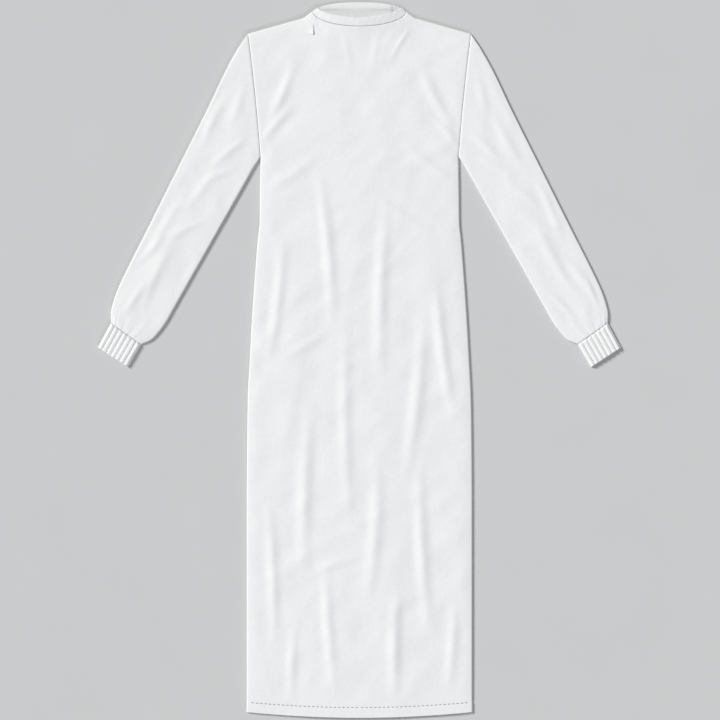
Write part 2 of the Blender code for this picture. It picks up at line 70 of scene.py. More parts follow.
# Neckline: the front edge dips to a shallow point, the seam below it is half an ellipse
FRONT_NECK_Y = 0.5970
FRONT_NECK_SLOPE = 0.14
FRONT_NECK_POWER = 6.5
BACK_NECK_POWER = 2.8
BAND_SEAM_DEPTH = 0.0270
BACK_SEAM_RISE = 0.0025

# The back halves reach this far past the centre, the wearer's left one nearest the floor
LAP = 0.0580
LAP_RAMP = 0.0140
INNER_LIFT = BINDING + 0.0001
EDGE_PRESS = 0.0005
LAP_EDGE_ROLL = 0.0045

# How high the cloth stands off the layer below
FLOOR_GAP = 0.0001
FRONT_LOFT = 0.0018
LOFT_MOST = 0.0030
RISE_REACH = 0.1200
RISE_RAMP = 0.0750
SIDE_ROLL = 0.030
SHOULDER_ROLL = 0.022
HEM_ROLL = 0.060
HEM_LOFT_SHARE = 0.35
NECK_GAPE = 0.0045
GAPE_REACH = 0.0450
SLEEVE_EDGE = 0.0022
SLEEVE_HEIGHT = 0.0048
SLEEVE_ROLL = 0.024
SLEEVE_ROLL_MOST = 0.2
SLEEVE_BLEND = 0.080
CUFF_EDGE = 0.0021
CUFF_HEIGHT = 0.0046
CUFF_ROLL = 0.010
GATHER_REACH = 0.045

# Rounded edges and seams
CURL = 0.0016
SEAM_ROLL = 0.0030
SEAM_DIP = 0.0015
NECK_DIP = 0.0010
CUFF_DIP = 0.0014
SLEEVE_UNDER_DIP = 0.4
CUFF_UNDER_DIP = 0.5
BACK_SEAM_LIFT = 0.0006
BAND_TUCK = 0.0015
BAND_EDGE_LIFT = 0.0002
UNDERARM_GROOVE = 0.0005

# The turned-up hem and its stitches
HEM_TURN = 0.0175
HEM_STEP = 0.0015
HEM_RELIEF = 0.0005
HEM_FOLD = 0.0006
HEM_ALLOWANCE = 0.0210
STITCH_DIP = 0.0004
STITCH_DIP_REACH = 0.0013
STITCH_LENGTH = 0.0050
STITCH_RADIUS = 0.00042
STITCH_PROUD = 0.0002
STITCH_SUNK = 0.0004
STITCH_END_LEAST = 0.02
STITCH_ROUND_POWER = 6
STITCH_SUNK_POWER = 8
STITCH_COUNT = 25
STITCH_GAP = 0.0011
STITCH_LINE_CENTRE = -0.6082
STITCH_LINE_SIDE = -0.5995
STITCH_LINE_HALF = 0.1908

# Profiles of folds and creases
FOLD_FADE = 1.5
CREASE_FADE = 1.4
CREASE_HOLLOW = 0.4
HOLLOW_SPREAD = 2.3
FRONT_CREASE_SHARE = 1.45
BACK_CREASE_MOST = 0.0011

# Crumpling: how many waves, their lengths, their patches and how they bend
CRUMPLE_WAVES = 14
CRUMPLE_LENGTHS = (0.035, 0.110)
CRUMPLE_PATCHES = (0.16, 0.34)
CRUMPLE_BEND = 0.6
CRUMPLE_BEND_LENGTH = 0.13
CREST_SOFTNESS = 0.02
CREST_LEVEL = 0.65
FRONT_CRUMPLE = 0.0062
SLEEVE_CRUMPLE = 0.0046
FRONT_SEED = 5
LEFT_SEED = 11
RIGHT_SEED = 12

# How far from edges and seams creases and crumpling reach their full height
SIDE_CALM = 0.026
SHOULDER_CALM = 0.020
HEM_CALM = 0.060
HEM_CALM_LEAST = 0.3
BACK_HEM_CALM = 0.050
NECK_CALM = 0.014
ARMHOLE_CALM = 0.020
ARMHOLE_CALM_LEAST = 0.25
CRUMPLE_LEAST = 0.3
SLEEVE_TOP_CALM = 0.030
SLEEVE_CREASE_LEAST = 0.35
SLEEVE_FOLD_CALM = 0.014
CUFF_CALM = 0.040
LAP_CALM_EDGE = 0.080
LAP_CALM_REACH = 0.020
LAP_CALM_SHARE = 0.8

# Puckers beside a seam: height, pitch, reach
ARMHOLE_PUCKERS = (0.00022, 0.0125, 0.010)
NECK_PUCKERS = (0.00016, 0.0115, 0.008)
SLEEVE_PUCKERS = (0.00022, 0.0135, 0.010)
PUCKER_WOBBLE = 1.4
WOBBLE_PITCHES = 4.3
PUCKER_START = 0.012
SLEEVE_PUCKER_START = 0.010

# The short crease below the neck, on the wearer's right
TICK_EDGE_X = -0.0812
TICK_TOP = 0.5885
TICK_FOOT = 0.5715
TICK_HEIGHT = 0.0024
TICK_WIDTH = 0.0060
TICK_HALF_LENGTH = 0.0140
TICK_FALL = 0.0009
TICK_STOP = 0.0036
TICK_DENT = 0.22
TICK_DENT_PLACE = 0.0026
TICK_DENT_WIDTH = 0.0016

# Cuff ribs
RIBS = 7
RIB_HEIGHT = 0.00162
RIB_POWER = 0.7
RIB_START = 0.0015
UNDER_RIB = 0.0008
RIB_INSIDE_SHARE = 0.35
CUFF_SLACK = 0.0002
CUFF_SLACK_LENGTH = 0.031
CUFF_SLACK_SLANT = 9.0

# Neck binding
BAND_WIDTH_SHARE = 0.975
BAND_HEAD_REACH = 0.955
BAND_FOOT_REACH = 0.986
BAND_FRONT_SHARE = 0.93
BAND_SIDE_HEADS = (0.062, 0.066)
BAND_SIDE_FEET = (0.0655, 0.074)
BAND_EDGE_ROUND = 0.08
BAND_BACK_ROUND = 0.42
BAND_END_SHARE = 0.12
BAND_WAVE = 0.00014
BAND_WAVE_LENGTH = 0.0125
BAND_WAVE_SLANT = 5.0
BAND_TURN_START = 45.0
BAND_TURN_SPAN = 90.0
BACK_WAY = (-1.0, 0.0)
FRONT_WAY_AT_HEAD = (-0.72, -0.69)
FRONT_WAY_AT_FOOT = (0.0, -1.0)

# Mesh spacing, and the angles past which an edge is sharp
EDGE_STEPS = np.array([0.0030, 0.0023, 0.0016, 0.0010, 0.0006, 0.0003, 0.0001, 0.0])
HEM_STEPS = np.array([
    0.0, 0.0006, 0.0015, 0.0035, 0.0065, 0.0100, 0.0135, 0.0155, 0.0163, 0.0171, 0.0179,
    0.0188, 0.0200, 0.0225,
])
HEM_FOLD_ANGLES = np.arange(150.0, 0.0, -30.0)
TUBE_FOLD_ANGLES = np.arange(67.5, -90.0, -22.5)
HEM_ROWS = 6
FRONT_ROW = 0.0044
FRONT_COLUMN = 0.0042
BACK_ROW = 0.0060
BACK_COLUMN = 0.0056
LAP_COLUMNS = 28
NECK_POINTS = 26
SIDE_POINTS = 42
SIDE_START = HEM_CORNER[1] - 0.02
ARMHOLE_POINTS = 14
BEND_SHARES = np.array([0.06, 0.16, 0.32, 0.54, 0.77, 1.0])
EVEN_REACH = 0.008
EVEN_PLACES = 9
TOP_TURN = 0.016
TICK_COLUMNS = np.array([0.0060, 0.0045, 0.0035, 0.0026, 0.0018, 0.0012, 0.0008, 0.0004, 0.0])
TICK_ROWS = np.concatenate([
    [0.8100, 0.8185, 0.8265],
    np.arange(0.8340, 0.8670, 0.0026),
    np.arange(0.8700, 0.9400, 0.0080),
])
TICK_ROWS_START = 0.8050
TICK_ROWS_END = 0.9450
SLEEVE_SECTIONS = 132
CUFF_END_SPREAD = 1.4
SLEEVE_TOP_POINTS = 52
SLEEVE_UNDER_POINTS = 36
CUFF_STEPS = np.array([0.0003, 0.0006, 0.0010, 0.0016, 0.0024])
CUFF_SECTIONS = 22
CUFF_SECTIONS_START = 0.09
STEPS_TO_A_RIB = 14
LIP_ANGLES = (25.0, 50.0, 75.0)
BAND_ROWS = 11
BAND_TURNS = 13
BAND_BACK_SECTIONS = 44
BAND_FRONT_SECTIONS = 71
STITCH_RINGS = 9
STITCH_SIDES = 8
EVEN_SHARE = 0.45
SHARP_EDGE = 55.0
SHARP_STITCH_EDGE = 60.0

# Colours: dark and light ones of the cloth and the binding, of the yarn in painted shade and lit, and
# single ones
CLOTH_COLOURS = ((0.74, 0.745, 0.755, 1.0), (0.84, 0.845, 0.85, 1.0))
BINDING_COLOURS = ((0.72, 0.725, 0.735, 1.0), (0.82, 0.825, 0.83, 1.0))
YARN_PAINTED_SHADE_COLOURS = ((0.60, 0.605, 0.61, 1.0), (0.85, 0.855, 0.86, 1.0))
FUZZ_COLOUR = (0.78, 0.785, 0.79, 1.0)
THREAD_COLOUR = (0.13, 0.13, 0.14, 1.0)
FLOOR_COLOUR = (0.57, 0.575, 0.58, 1.0)

# Shares and slants in the looks of cloth, knit and plain paint
CLOUD_SHARE = 0.55
LOOP_SLANT = 0.55
FUZZ_SHARE = 0.2
CLOUDY_SHADE = 0.97

# Where a colour mix takes its share and its two colours, and where it gives its result
MIX_TAKES = (0, 6, 7)
MIX_GIVES = 2

# The side seam from hem to underarm: height, half width
SIDE_SEAM = np.array([
    (-0.6162, 0.1974),
    (-0.2460, 0.1974),
    (-0.1600, 0.1969),
    (-0.0700, 0.1957),
    (0.0000, 0.1922),
    (0.0700, 0.1884),
    (0.1400, 0.1836),
    (0.2090, 0.1782),
    (0.2400, 0.1750),
    (0.3000, 0.1743),
    (0.3560, 0.1733),
])

# The sleeve from armhole to cuff: share of its length, outer edge x and y, inner edge x and y
SLEEVE = np.array([
    (0.00, 0.1951, 0.5708, 0.1733, 0.3560),
    (0.06, 0.2146, 0.5415, 0.1860, 0.3360),
    (0.12, 0.2338, 0.5065, 0.1985, 0.3140),
    (0.25, 0.2625, 0.4460, 0.2235, 0.2698),
    (0.45, 0.3190, 0.3330, 0.2610, 0.2035),
    (0.65, 0.3715, 0.2280, 0.2975, 0.1390),
    (0.79, 0.4110, 0.1495, 0.3240, 0.0920),
    (0.86, 0.4250, 0.1185, 0.3400, 0.0640),
    (0.91, 0.4315, 0.0985, 0.3510, 0.0492),
    (0.96, 0.4352, 0.0810, 0.3650, 0.0350),
    (1.00, 0.4347, 0.0650, 0.3820, 0.0276),
])
CUFF_OUTER_CORNER = np.array([0.4578, 0.0220])
CUFF_INNER_CORNER = np.array([0.4053, -0.0123])

# Folds and creases: middle x and y, heading in degrees, length, half width, height, sideways bow
RIDGE_UNITS = np.array([0.001, 0.001, 1.0, 0.001, 0.001, 0.001, 0.001])
FRONT_FOLDS = RIDGE_UNITS * [
    (118, 400, 128, 170, 20, 1.3, 0),
    (-112, 386, 50, 190, 23, 1.2, 0),
    (126, 130, 96, 420, 26, 1.1, 0),
    (-120, -30, 86, 520, 30, 1.2, 0),
    (52, -430, 93, 360, 28, 1.0, 0),
    (-40, -500, 85, 260, 24, 0.9, 0),
    (10, 270, 84, 300, 32, 0.9, 0),
]
LEFT_SLEEVE_FOLDS = RIDGE_UNITS * [
    (222, 400, -72, 150, 18, 1.0, 0),
    (300, 250, -60, 260, 20, 1.0, 0),
    (385, 105, -62, 120, 16, 0.8, 0),
]
RIGHT_SLEEVE_FOLDS = RIDGE_UNITS * [
    (228, 372, -66, 170, 18, 1.0, 0),
    (322, 222, -63, 240, 19, 0.9, 0),
    (378, 128, -56, 140, 16, 0.9, 0),
]
FRONT_CREASES = RIDGE_UNITS * [
    (140, 455, 118, 150, 9, 1.2, 6),
    (152, 395, 132, 110, 7, 1.0, -4),
    (126, 345, 146, 120, 10, 0.9, 5),
    (-138, 470, 66, 130, 8, 1.1, -5),
    (-148, 405, 50, 120, 8, 1.2, 4),
    (-120, 330, 34, 130, 10, 0.9, -6),
    (31, 546, 79, 84, 4.4, 0.5, 3),
    (-24, 540, 98, 96, 4.6, 0.5, -3),
    (71, 549, 59, 80, 4.4, 0.6, 3),
    (45, 120, 88, 360, 11, 1.4, 8),
    (-60, 190, 95, 300, 10, 1.3, -6),
    (95, -60, 84, 330, 12, 1.5, -7),
    (-18, -110, 91, 380, 10, 1.1, 7),
    (150, 20, 97, 260, 9, 1.3, 5),
    (-148, 100, 83, 240, 9, 1.2, -5),
    (-90, -230, 88, 340, 12, 1.4, 6),
    (20, -300, 86, 300, 11, 1.3, -8),
    (115, -330, 93, 320, 10, 1.4, 6),
    (-155, -380, 92, 280, 9, 1.2, -4),
    (65, -500, 89, 220, 10, 1.3, 4),
    (-50, -470, 94, 240, 9, 1.1, 4),
    (160, -500, 86, 180, 9, 1.1, -3),
    (-115, -530, 87, 150, 8, 1.0, 3),
    (80, 255, 152, 120, 8, 0.8, 5),
    (-95, 30, 28, 110, 8, 0.8, -4),
    (70, -190, 160, 130, 9, 0.8, 6),
    (-40, -360, 18, 120, 8, 0.7, 4),
]
LEFT_SLEEVE_CREASES = RIDGE_UNITS * [
    (208, 470, -74, 110, 8, 1.1, 4),
    (218, 372, -44, 100, 7, 1.1, 4),
    (236, 338, -30, 75, 7, 0.9, 3),
    (262, 385, -61, 150, 9, 1.1, -5),
    (286, 286, -30, 80, 7, 1.1, 4),
    (309, 244, -22, 85, 7, 0.9, -4),
    (330, 262, -68, 140, 8, 1.1, 5),
    (345, 175, -60, 160, 9, 1.2, -4),
    (378, 150, -50, 100, 8, 1.0, 4),
    (352, 94, -44, 80, 6, 1.0, 3),
    (410, 118, -66, 80, 6, 1.0, -3),
]
RIGHT_SLEEVE_CREASES = RIDGE_UNITS * [
    (212, 455, -70, 120, 8, 1.0, -4),
    (226, 362, -38, 90, 7, 1.2, 4),
    (244, 322, -24, 70, 6, 0.9, 3),
    (252, 420, -64, 120, 8, 1.0, 4),
    (280, 300, -52, 110, 8, 1.0, -4),
    (302, 226, -26, 80, 7, 1.1, 4),
    (334, 236, -58, 150, 9, 1.1, 5),
    (356, 140, -66, 130, 8, 1.1, 4),
    (366, 196, -44, 80, 7, 0.9, -3),
    (392, 104, -56, 90, 7, 1.1, 3),
]
BACK_CREASES = RIDGE_UNITS * [
    (130, 420, 60, 160, 10, 1.0, 6),
    (150, 330, 38, 120, 9, 0.8, -4),
    (100, 120, 95, 320, 12, 1.0, 8),
    (145, -120, 88, 280, 11, 1.0, -6),
    (80, -330, 92, 300, 12, 1.0, 6),
    (130, -480, 86, 200, 10, 0.8, 4),
]

# Gathers at the cuff: place across as a share, half width, height, reach up the sleeve
GATHER_UNITS = np.array([1.0, 0.001, 0.001, 0.001])
GATHERS = GATHER_UNITS * [
    (0.11, 3.0, 1.2, 36),
    (0.21, 2.6, 0.9, 52),
    (0.30, 3.4, 1.4, 30),
    (0.42, 2.8, 1.0, 60),
    (0.51, 3.0, 1.3, 42),
    (0.63, 2.7, 1.0, 34),
    (0.71, 3.2, 1.4, 56),
    (0.81, 2.6, 0.9, 40),
    (0.90, 3.0, 1.1, 30),
]
GATHER_FADE = 1.5
GATHER_SPREAD = 1.2
GATHER_START = 0.006
UNDER_GATHER_SHARE = 0.7
UNDER_GATHER_SHIFT = 0.03


def smooth_step(t):
    """Eases from 0 to 1 as t does."""
    t = np.clip(t, 0.0, 1.0)
    return t * t * (3.0 - 2.0 * t)


def quarter_round(t):
    """A quarter of a circle: steep at 0 and level from 1 on."""
    t = np.clip(t, 0.0, 1.0)
    return np.sqrt(np.maximum(0.0, 1.0 - (1.0 - t) ** 2))


def bell(distance, half_width):
    """A bell curve: 1 in the middle, fading to both sides."""
    return np.exp(-((distance / half_width) ** 2))


def eased(distance, reach, least=0.0):
    """Grows smoothly from a least share at an edge to 1 at a reach from it."""
    return least + (1.0 - least) * smooth_step(distance / reach)


def rolled(distance, reach, depth):
    """How far a rounded edge or seam turns off: its depth at the edge, nothing from a reach on."""
    return depth * (1.0 - quarter_round(distance / reach))


def with_height(plan, height):
    """Plan places with a height added to each."""
    return np.concatenate([plan, height[..., None]], axis=-1)


def walked(points, axis=0):
    """Distances walked along lines of points, from 0 at their start."""
    steps = np.linalg.norm(np.diff(points, axis=axis), axis=-1)
    start = np.zeros_like(np.take(steps, [0], axis=axis))
    return np.concatenate([start, np.cumsum(steps, axis=axis)], axis=axis)


def smooth_through(stations, values, at):
    """A smooth curve through a table's values, without overshoot, read at the places asked for."""
    steps = np.diff(stations)
    slopes = np.diff(values) / steps
    product = slopes[:-1] * slopes[1:]
    total = np.where(product > 0.0, slopes[:-1] + slopes[1:], 1.0)
    inner = np.where(product > 0.0, 2.0 * product / total, 0.0)
    tangents = np.concatenate([slopes[:1], inner, slopes[-1:]])
    at = np.clip(np.asarray(at, float), stations[0], stations[-1])
    left = np.clip(np.searchsorted(stations, at, side="right") - 1, 0, len(steps) - 1)
    t = (at - stations[left]) / steps[left]
    start = values[left] * (1.0 + 2.0 * t) * (1.0 - t) ** 2
    end = values[left + 1] * t * t * (3.0 - 2.0 * t)
    leaving = tangents[left] * steps[left] * t * (1.0 - t) ** 2
    arriving = tangents[left + 1] * steps[left] * t * t * (t - 1.0)
    return start + end + leaving + arriving


def side_half_width(y):
    """Half the body's width at a height below the underarm."""
    return smooth_through(SIDE_SEAM[:, 0], SIDE_SEAM[:, 1], y)


def armhole(share):
    """The armhole seam from the underarm at 0 to the shoulder tip at 1, bowed to the centre."""
    x = UNDERARM[0] + (SHOULDER_TIP[0] - UNDERARM[0]) * share
    y = UNDERARM[1] + (SHOULDER_TIP[1] - UNDERARM[1]) * share
    return np.stack([x - ARMHOLE_BOW * np.sin(math.pi * share), y], axis=-1)


def hem(x):
    """The hem's height: a shallow parabola, lowest at the centre."""
    return HEM_CORNER[1] - HEM_DROP * (1.0 - (x / HEM_CORNER[0]) ** 2)


def stitch_line(x):
    """The height of the hem's stitch line, a shallow parabola like the hem."""
    rise = STITCH_LINE_SIDE - STITCH_LINE_CENTRE
    return STITCH_LINE_CENTRE + rise * (x / STITCH_LINE_HALF) ** 2


def front_neckline(x):
    """The neckband's upper edge in front."""
    turn = NECK_SIDE[1] - FRONT_NECK_Y - FRONT_NECK_SLOPE * NECK_SIDE[0]
    bend = turn * (np.abs(x) / NECK_SIDE[0]) ** FRONT_NECK_POWER
    return FRONT_NECK_Y + FRONT_NECK_SLOPE * np.abs(x) + bend


def back_neckline(x):
    """The neckband's upper edge behind."""
    rise = BACK_NECK_Y - NECK_SIDE[1]
    return BACK_NECK_Y - rise * (np.abs(x) / NECK_SIDE[0]) ** BACK_NECK_POWER


def front_band_seam(x, gap=0.0):
    """The seam between neckband and front, half an ellipse, or a line set off below it."""
    share = np.clip(np.abs(x) / (BAND_FOOT[0] + gap), 0.0, 1.0)
    return BAND_FOOT[1] - (BAND_SEAM_DEPTH + gap) * np.sqrt(1.0 - share**2)


def back_band_seam(x):
    """The seam between neckband and back."""
    return BAND_FOOT[1] + BACK_SEAM_RISE * (1.0 - (x / BAND_FOOT[0]) ** 2)


def panel_top(x, at_neck):
    """A panel's upper edge: a given line at the neck, then along the shoulder with its bend."""
    shoulder = SHOULDER_LINE_TO_NECK[::-1]
    along_shoulder = np.interp(np.abs(x), shoulder[:, 0], shoulder[:, 1])
    return np.minimum(np.where(x < BAND_FOOT[0], at_neck, 1.0), along_shoulder)


def front_top(x):
    """The front's upper edge, just below the band seam at the neck."""
    return panel_top(x, front_band_seam(x, SEAM_GAP))


def back_top(x):
    """A back half's upper edge, tucked under the band at the neck."""
    return panel_top(x, back_band_seam(x) + BAND_TUCK)


def side_line():
    """Places along the side seam, from below the hem to the underarm."""
    heights = np.linspace(SIDE_START, UNDERARM[1], SIDE_POINTS)
    return np.stack([side_half_width(heights), heights], axis=-1)


def neck_line():
    """Places along the seam between front and neckband, from the centre to the shoulder."""
    x = BAND_FOOT[0] * np.sin(np.linspace(0.0, math.pi / 2.0, NECK_POINTS))
    return np.stack([x, front_band_seam(x)], axis=-1)


SHOULDER_LINE_TO_NECK = np.array([SHOULDER_TIP, SHOULDER_BEND, BAND_FOOT, NECK_SIDE])
SHOULDER_LINE = SHOULDER_LINE_TO_NECK[:3]
ARMHOLE_LINE = armhole(np.linspace(0.0, 1.0, ARMHOLE_POINTS))
SIDE_LINE = side_line()
NECK_LINE = neck_line()
CUFF_LINE = SLEEVE[-1, 1:].reshape(2, 2)


def distance_to_line(x, y, line):
    """The least distance in plan from each place to a line of points."""
    best = np.full(np.shape(x), np.inf)
    for (ax, ay), (bx, by) in zip(line[:-1], line[1:]):
        dx = bx - ax
        dy = by - ay
        t = np.clip(((x - ax) * dx + (y - ay) * dy) / (dx * dx + dy * dy), 0.0, 1.0)
        best = np.minimum(best, np.hypot(x - ax - t * dx, y - ay - t * dy))
    return best


def panel_distances(x, y):
    """Distances in plan from a panel's side, shoulder and armhole seams and its side fold."""
    lines = (SIDE_LINE, SHOULDER_LINE, ARMHOLE_LINE)
    from_side, from_shoulder, from_armhole = [distance_to_line(np.abs(x), y, line) for line in lines]
    return from_side, from_shoulder, from_armhole, from_side - SEAM_GAP / 2.0


def ridge_heights(x, y, ridges, fade=CREASE_FADE, hollow=CREASE_HOLLOW):
    """The height that folds or creases add.

    Each runs on a shallow arc. Across it a narrow bell stands in a wider and lower hollow, and
    along it the height fades to both ends.
    """
    total = np.zeros(np.shape(x))
    for middle_x, middle_y, heading, length, half_width, height, bow in ridges:
        turn = math.radians(heading)
        along = (x - middle_x) * math.cos(turn) + (y - middle_y) * math.sin(turn)
        across = (y - middle_y) * math.cos(turn) - (x - middle_x) * math.sin(turn)
        from_end = 1.0 - (2.0 * along / length) ** 2
        across = across - bow * from_end
        crest = (1.0 + hollow) * bell(across, half_width)
        crest = crest - hollow * bell(across, HOLLOW_SPREAD * half_width)
        total += height * np.clip(from_end, 0.0, 1.0) ** fade * crest
    return total


def crumple(x, y, seed):
    """Slight unevenness of the cloth: crossing waves with softened crests, strong in patches."""
    draw = np.random.default_rng(seed)
    total = np.zeros(np.shape(x))
    for _ in range(CRUMPLE_WAVES):
        heading = draw.uniform(0.0, math.pi)
        length = draw.uniform(*CRUMPLE_LENGTHS)
        phase = draw.uniform(0.0, FULL_TURN)
        patch_heading = draw.uniform(0.0, math.pi)
        patch_length = draw.uniform(*CRUMPLE_PATCHES)
        patch_phase = draw.uniform(0.0, FULL_TURN)
        run = x * math.cos(heading) + y * math.sin(heading)
        patch_run = x * math.cos(patch_heading) + y * math.sin(patch_heading)
        patch = 0.5 + 0.5 * np.sin(FULL_TURN * patch_run / patch_length + patch_phase)
        bend = CRUMPLE_BEND * np.sin(FULL_TURN * patch_run / CRUMPLE_BEND_LENGTH)
        wave = np.sqrt(np.sin(math.pi * run / length + phase + bend) ** 2 + CREST_SOFTNESS)
        total += patch * (CREST_LEVEL - wave) * length
    return total


def puckers(along, away, height, pitch, reach):
    """Small waves beside a seam that fade within a reach from it."""
    wobble = PUCKER_WOBBLE * np.sin(FULL_TURN * along / (WOBBLE_PITCHES * pitch))
    return height * np.sin(FULL_TURN * along / pitch + wobble) * bell(away, reach)


def lap_climb(x):
    """Climbs from 0 to 1 where the inner back half comes to lie on the outer one."""
    return smooth_step((x + LAP + SEAM_GAP + LAP_RAMP) / LAP_RAMP)


def inner_lift(x):
    """How far the inner back half is lifted on the outer one, its free edge pressed down."""
    return INNER_LIFT * lap_climb(x) - EDGE_PRESS * smooth_step((x - LAP) / LAP_EDGE_ROLL + 1.0)


def front_base(x):
    """The front's general height over the back halves, a wide low rise over their lap."""
    sewn = WALL + SEWN_LAYER_GAP
    lapped = 2.0 * (WALL + SEAM_GAP)
    return sewn + (lapped - sewn) * smooth_step((RISE_REACH - np.abs(x)) / RISE_RAMP)


def neck_gape(x, y):
    """How far the front of the neck stands open: most at the middle of its upper edge."""
    across = np.clip(1.0 - (x / NECK_SIDE[0]) ** 2, 0.0, 1.0)
    below = np.clip((front_neckline(x) - y) / GAPE_REACH, 0.0, 1.0)
    return NECK_GAPE * across * (1.0 - smooth_step(below))


def tick_crease(x, y):
    """A short sharp crease below the neck.

    The cloth climbs slowly to an edge and falls steeply beyond it, into a shallow dent. The
    edge grows from nothing at its upper end and stops short at its lower one.
    """
    beyond = x - TICK_EDGE_X
    climb = np.exp(np.minimum(beyond, 0.0) / TICK_WIDTH)
    fall = 1.0 - smooth_step(beyond / TICK_FALL)
    dent = TICK_DENT * bell(beyond - TICK_DENT_PLACE, TICK_DENT_WIDTH)
    growth = np.clip((TICK_TOP - y) / (TICK_TOP - TICK_FOOT), 0.0, 1.0)
    stop = smooth_step((y - TICK_FOOT) / TICK_STOP + 1.0)
    return TICK_HEIGHT * growth * stop * (climb * fall - dent)


def front_underside(x, y):
    """The front's general height: low at the side and shoulder seams, lofted between."""
    from_side = distance_to_line(np.abs(x), y, SIDE_LINE)
    from_shoulder = distance_to_line(np.abs(x), y, SHOULDER_LINE_TO_NECK)
    climb = quarter_round(from_side / SIDE_ROLL) * quarter_round(from_shoulder / SHOULDER_ROLL)
    folds = ridge_heights(x, y, FRONT_FOLDS, FOLD_FADE, 0.0)
    loft = np.minimum(FRONT_LOFT + folds, LOFT_MOST)
    return front_base(x) + loft * climb * eased(y - hem(x), HEM_ROLL, HEM_LOFT_SHARE)


def front_surface(x, y):
    """The height of the front's outer face.

    It is the general height with creases, slight crumpling and puckers added, the turned-up hem
    standing proud of a sunken stitch line, and every edge rolled down.
    """
    from_side, from_shoulder, from_armhole, from_fold = panel_distances(x, y)
    from_neck = distance_to_line(np.abs(x), y, NECK_LINE)
    from_hem = y - hem(x)
    calm = eased(from_side, SIDE_CALM) * eased(from_shoulder, SHOULDER_CALM)
    calm = calm * eased(from_hem, HEM_CALM, HEM_CALM_LEAST)
    neck_calm = eased(from_neck, NECK_CALM)
    neck_calm = neck_calm * eased(from_armhole, ARMHOLE_CALM, ARMHOLE_CALM_LEAST)
    height = front_underside(x, y) + WALL + neck_gape(x, y) + tick_crease(x, y)
    height += FRONT_CREASE_SHARE * ridge_heights(x, y, FRONT_CREASES) * calm * neck_calm
    crumple_calm = calm * (CRUMPLE_LEAST + (1.0 - CRUMPLE_LEAST) * neck_calm)
    height += FRONT_CRUMPLE * crumple(x, y, FRONT_SEED) * crumple_calm
    height += puckers(y, from_armhole, *ARMHOLE_PUCKERS) * eased(from_side, PUCKER_START)
    height += puckers(x, from_neck, *NECK_PUCKERS) * eased(from_shoulder, PUCKER_START)
    height += HEM_RELIEF * (1.0 - smooth_step((from_hem - HEM_TURN) / HEM_STEP + 0.5))
    height -= STITCH_DIP * bell(y - stitch_line(x), STITCH_DIP_REACH)
    drop = rolled(np.minimum(from_fold, from_shoulder), CURL, CURL)
    drop = np.maximum(drop, rolled(from_armhole, SEAM_ROLL, SEAM_DIP))
    return height - np.maximum(drop, rolled(from_neck, SEAM_ROLL, NECK_DIP))


def back_surface(x, y, side, lifted):
    """The height of a back half's outer face, which lies on the floor, its edges rolled up."""
    from_side, from_shoulder, from_armhole, from_fold = panel_distances(x, y)
    calm = eased(from_side, SIDE_CALM) * eased(from_shoulder, SHOULDER_CALM)
    calm = calm * eased(y - hem(x), BACK_HEM_CALM)
    calm = calm * (1.0 - LAP_CALM_SHARE * eased(LAP_CALM_EDGE - np.abs(x), LAP_CALM_REACH))
    creases = np.clip(ridge_heights(x * side, y, BACK_CREASES), 0.0, BACK_CREASE_MOST)
    height = FLOOR_GAP + creases * calm + (inner_lift(x) if lifted else 0.0)
    from_band = np.abs(y - back_band_seam(x) - BAND_TUCK)
    height = height + BAND_EDGE_LIFT * (1.0 - eased(from_band, SEAM_ROLL))
    rise = rolled(np.minimum(from_fold, from_shoulder), CURL, CURL - FLOOR_GAP)
    return height + np.maximum(rise, rolled(from_armhole, SEAM_ROLL, BACK_SEAM_LIFT))


def corner_sets(grid):
    """The four corners of every cell of a grid, in order round the cell."""
    cells = [grid[:-1, :-1], grid[:-1, 1:], grid[1:, 1:], grid[1:, :-1]]
    return np.stack(cells, axis=2).reshape((-1, 4) + grid.shape[2:])


def round_edge(grid):
    """The values round a grid's edge, back to where they start."""
    return np.concatenate([grid[0], grid[1:, -1], grid[-1, -2::-1], grid[-2::-1, 0]])


def closed(grid):
    """A grid with its first column again at the end, so that each row closes on itself."""
    return np.concatenate([grid, grid[:, :1]], axis=1)


def grid_normals(points, ring=False):
    """Unit normals of a grid of points, from the steps across and along it."""
    along = np.gradient(points, axis=0)
    if ring:
        across = np.roll(points, -1, axis=1) - np.roll(points, 1, axis=1)
    else:
        across = np.gradient(points, axis=1)
    normal = np.cross(across, along)
    return normal / np.maximum(np.linalg.norm(normal, axis=2, keepdims=True), 1e-12)


def facing_out(points, faces, places):
    """Groups of faces and of their corners' flat places, turned round if they face inwards."""
    corners = points[faces[0]]
    volume = np.linalg.det(corners[:, [0, 1, 2]]).sum() + np.linalg.det(corners[:, [0, 2, 3]]).sum()
    order = -1 if volume < 0.0 else 1
    return [group[:, ::order] for group in faces], [group[:, ::order] for group in places]


def add_mesh(name, points, faces, places, material, sharp=SHARP_EDGE):
    """A smooth mesh with its places on the flat cloth as texture coordinates."""
    mesh = bpy.data.meshes.new(name)
    mesh.from_pydata(points.tolist(), [], sum((group.tolist() for group in faces), []))
    mesh.materials.append(material)
    layer = mesh.uv_layers.new(name="flat_cloth")
    corners = np.concatenate([group.reshape(-1, 2) for group in places])
    layer.data.foreach_set("uv", corners.astype(np.float32).ravel())
    mesh.shade_smooth()
    mesh.set_sharp_from_angle(angle=math.radians(sharp))
    piece = bpy.data.objects.new(name, mesh)
    scene.collection.objects.link(piece)
    return piece


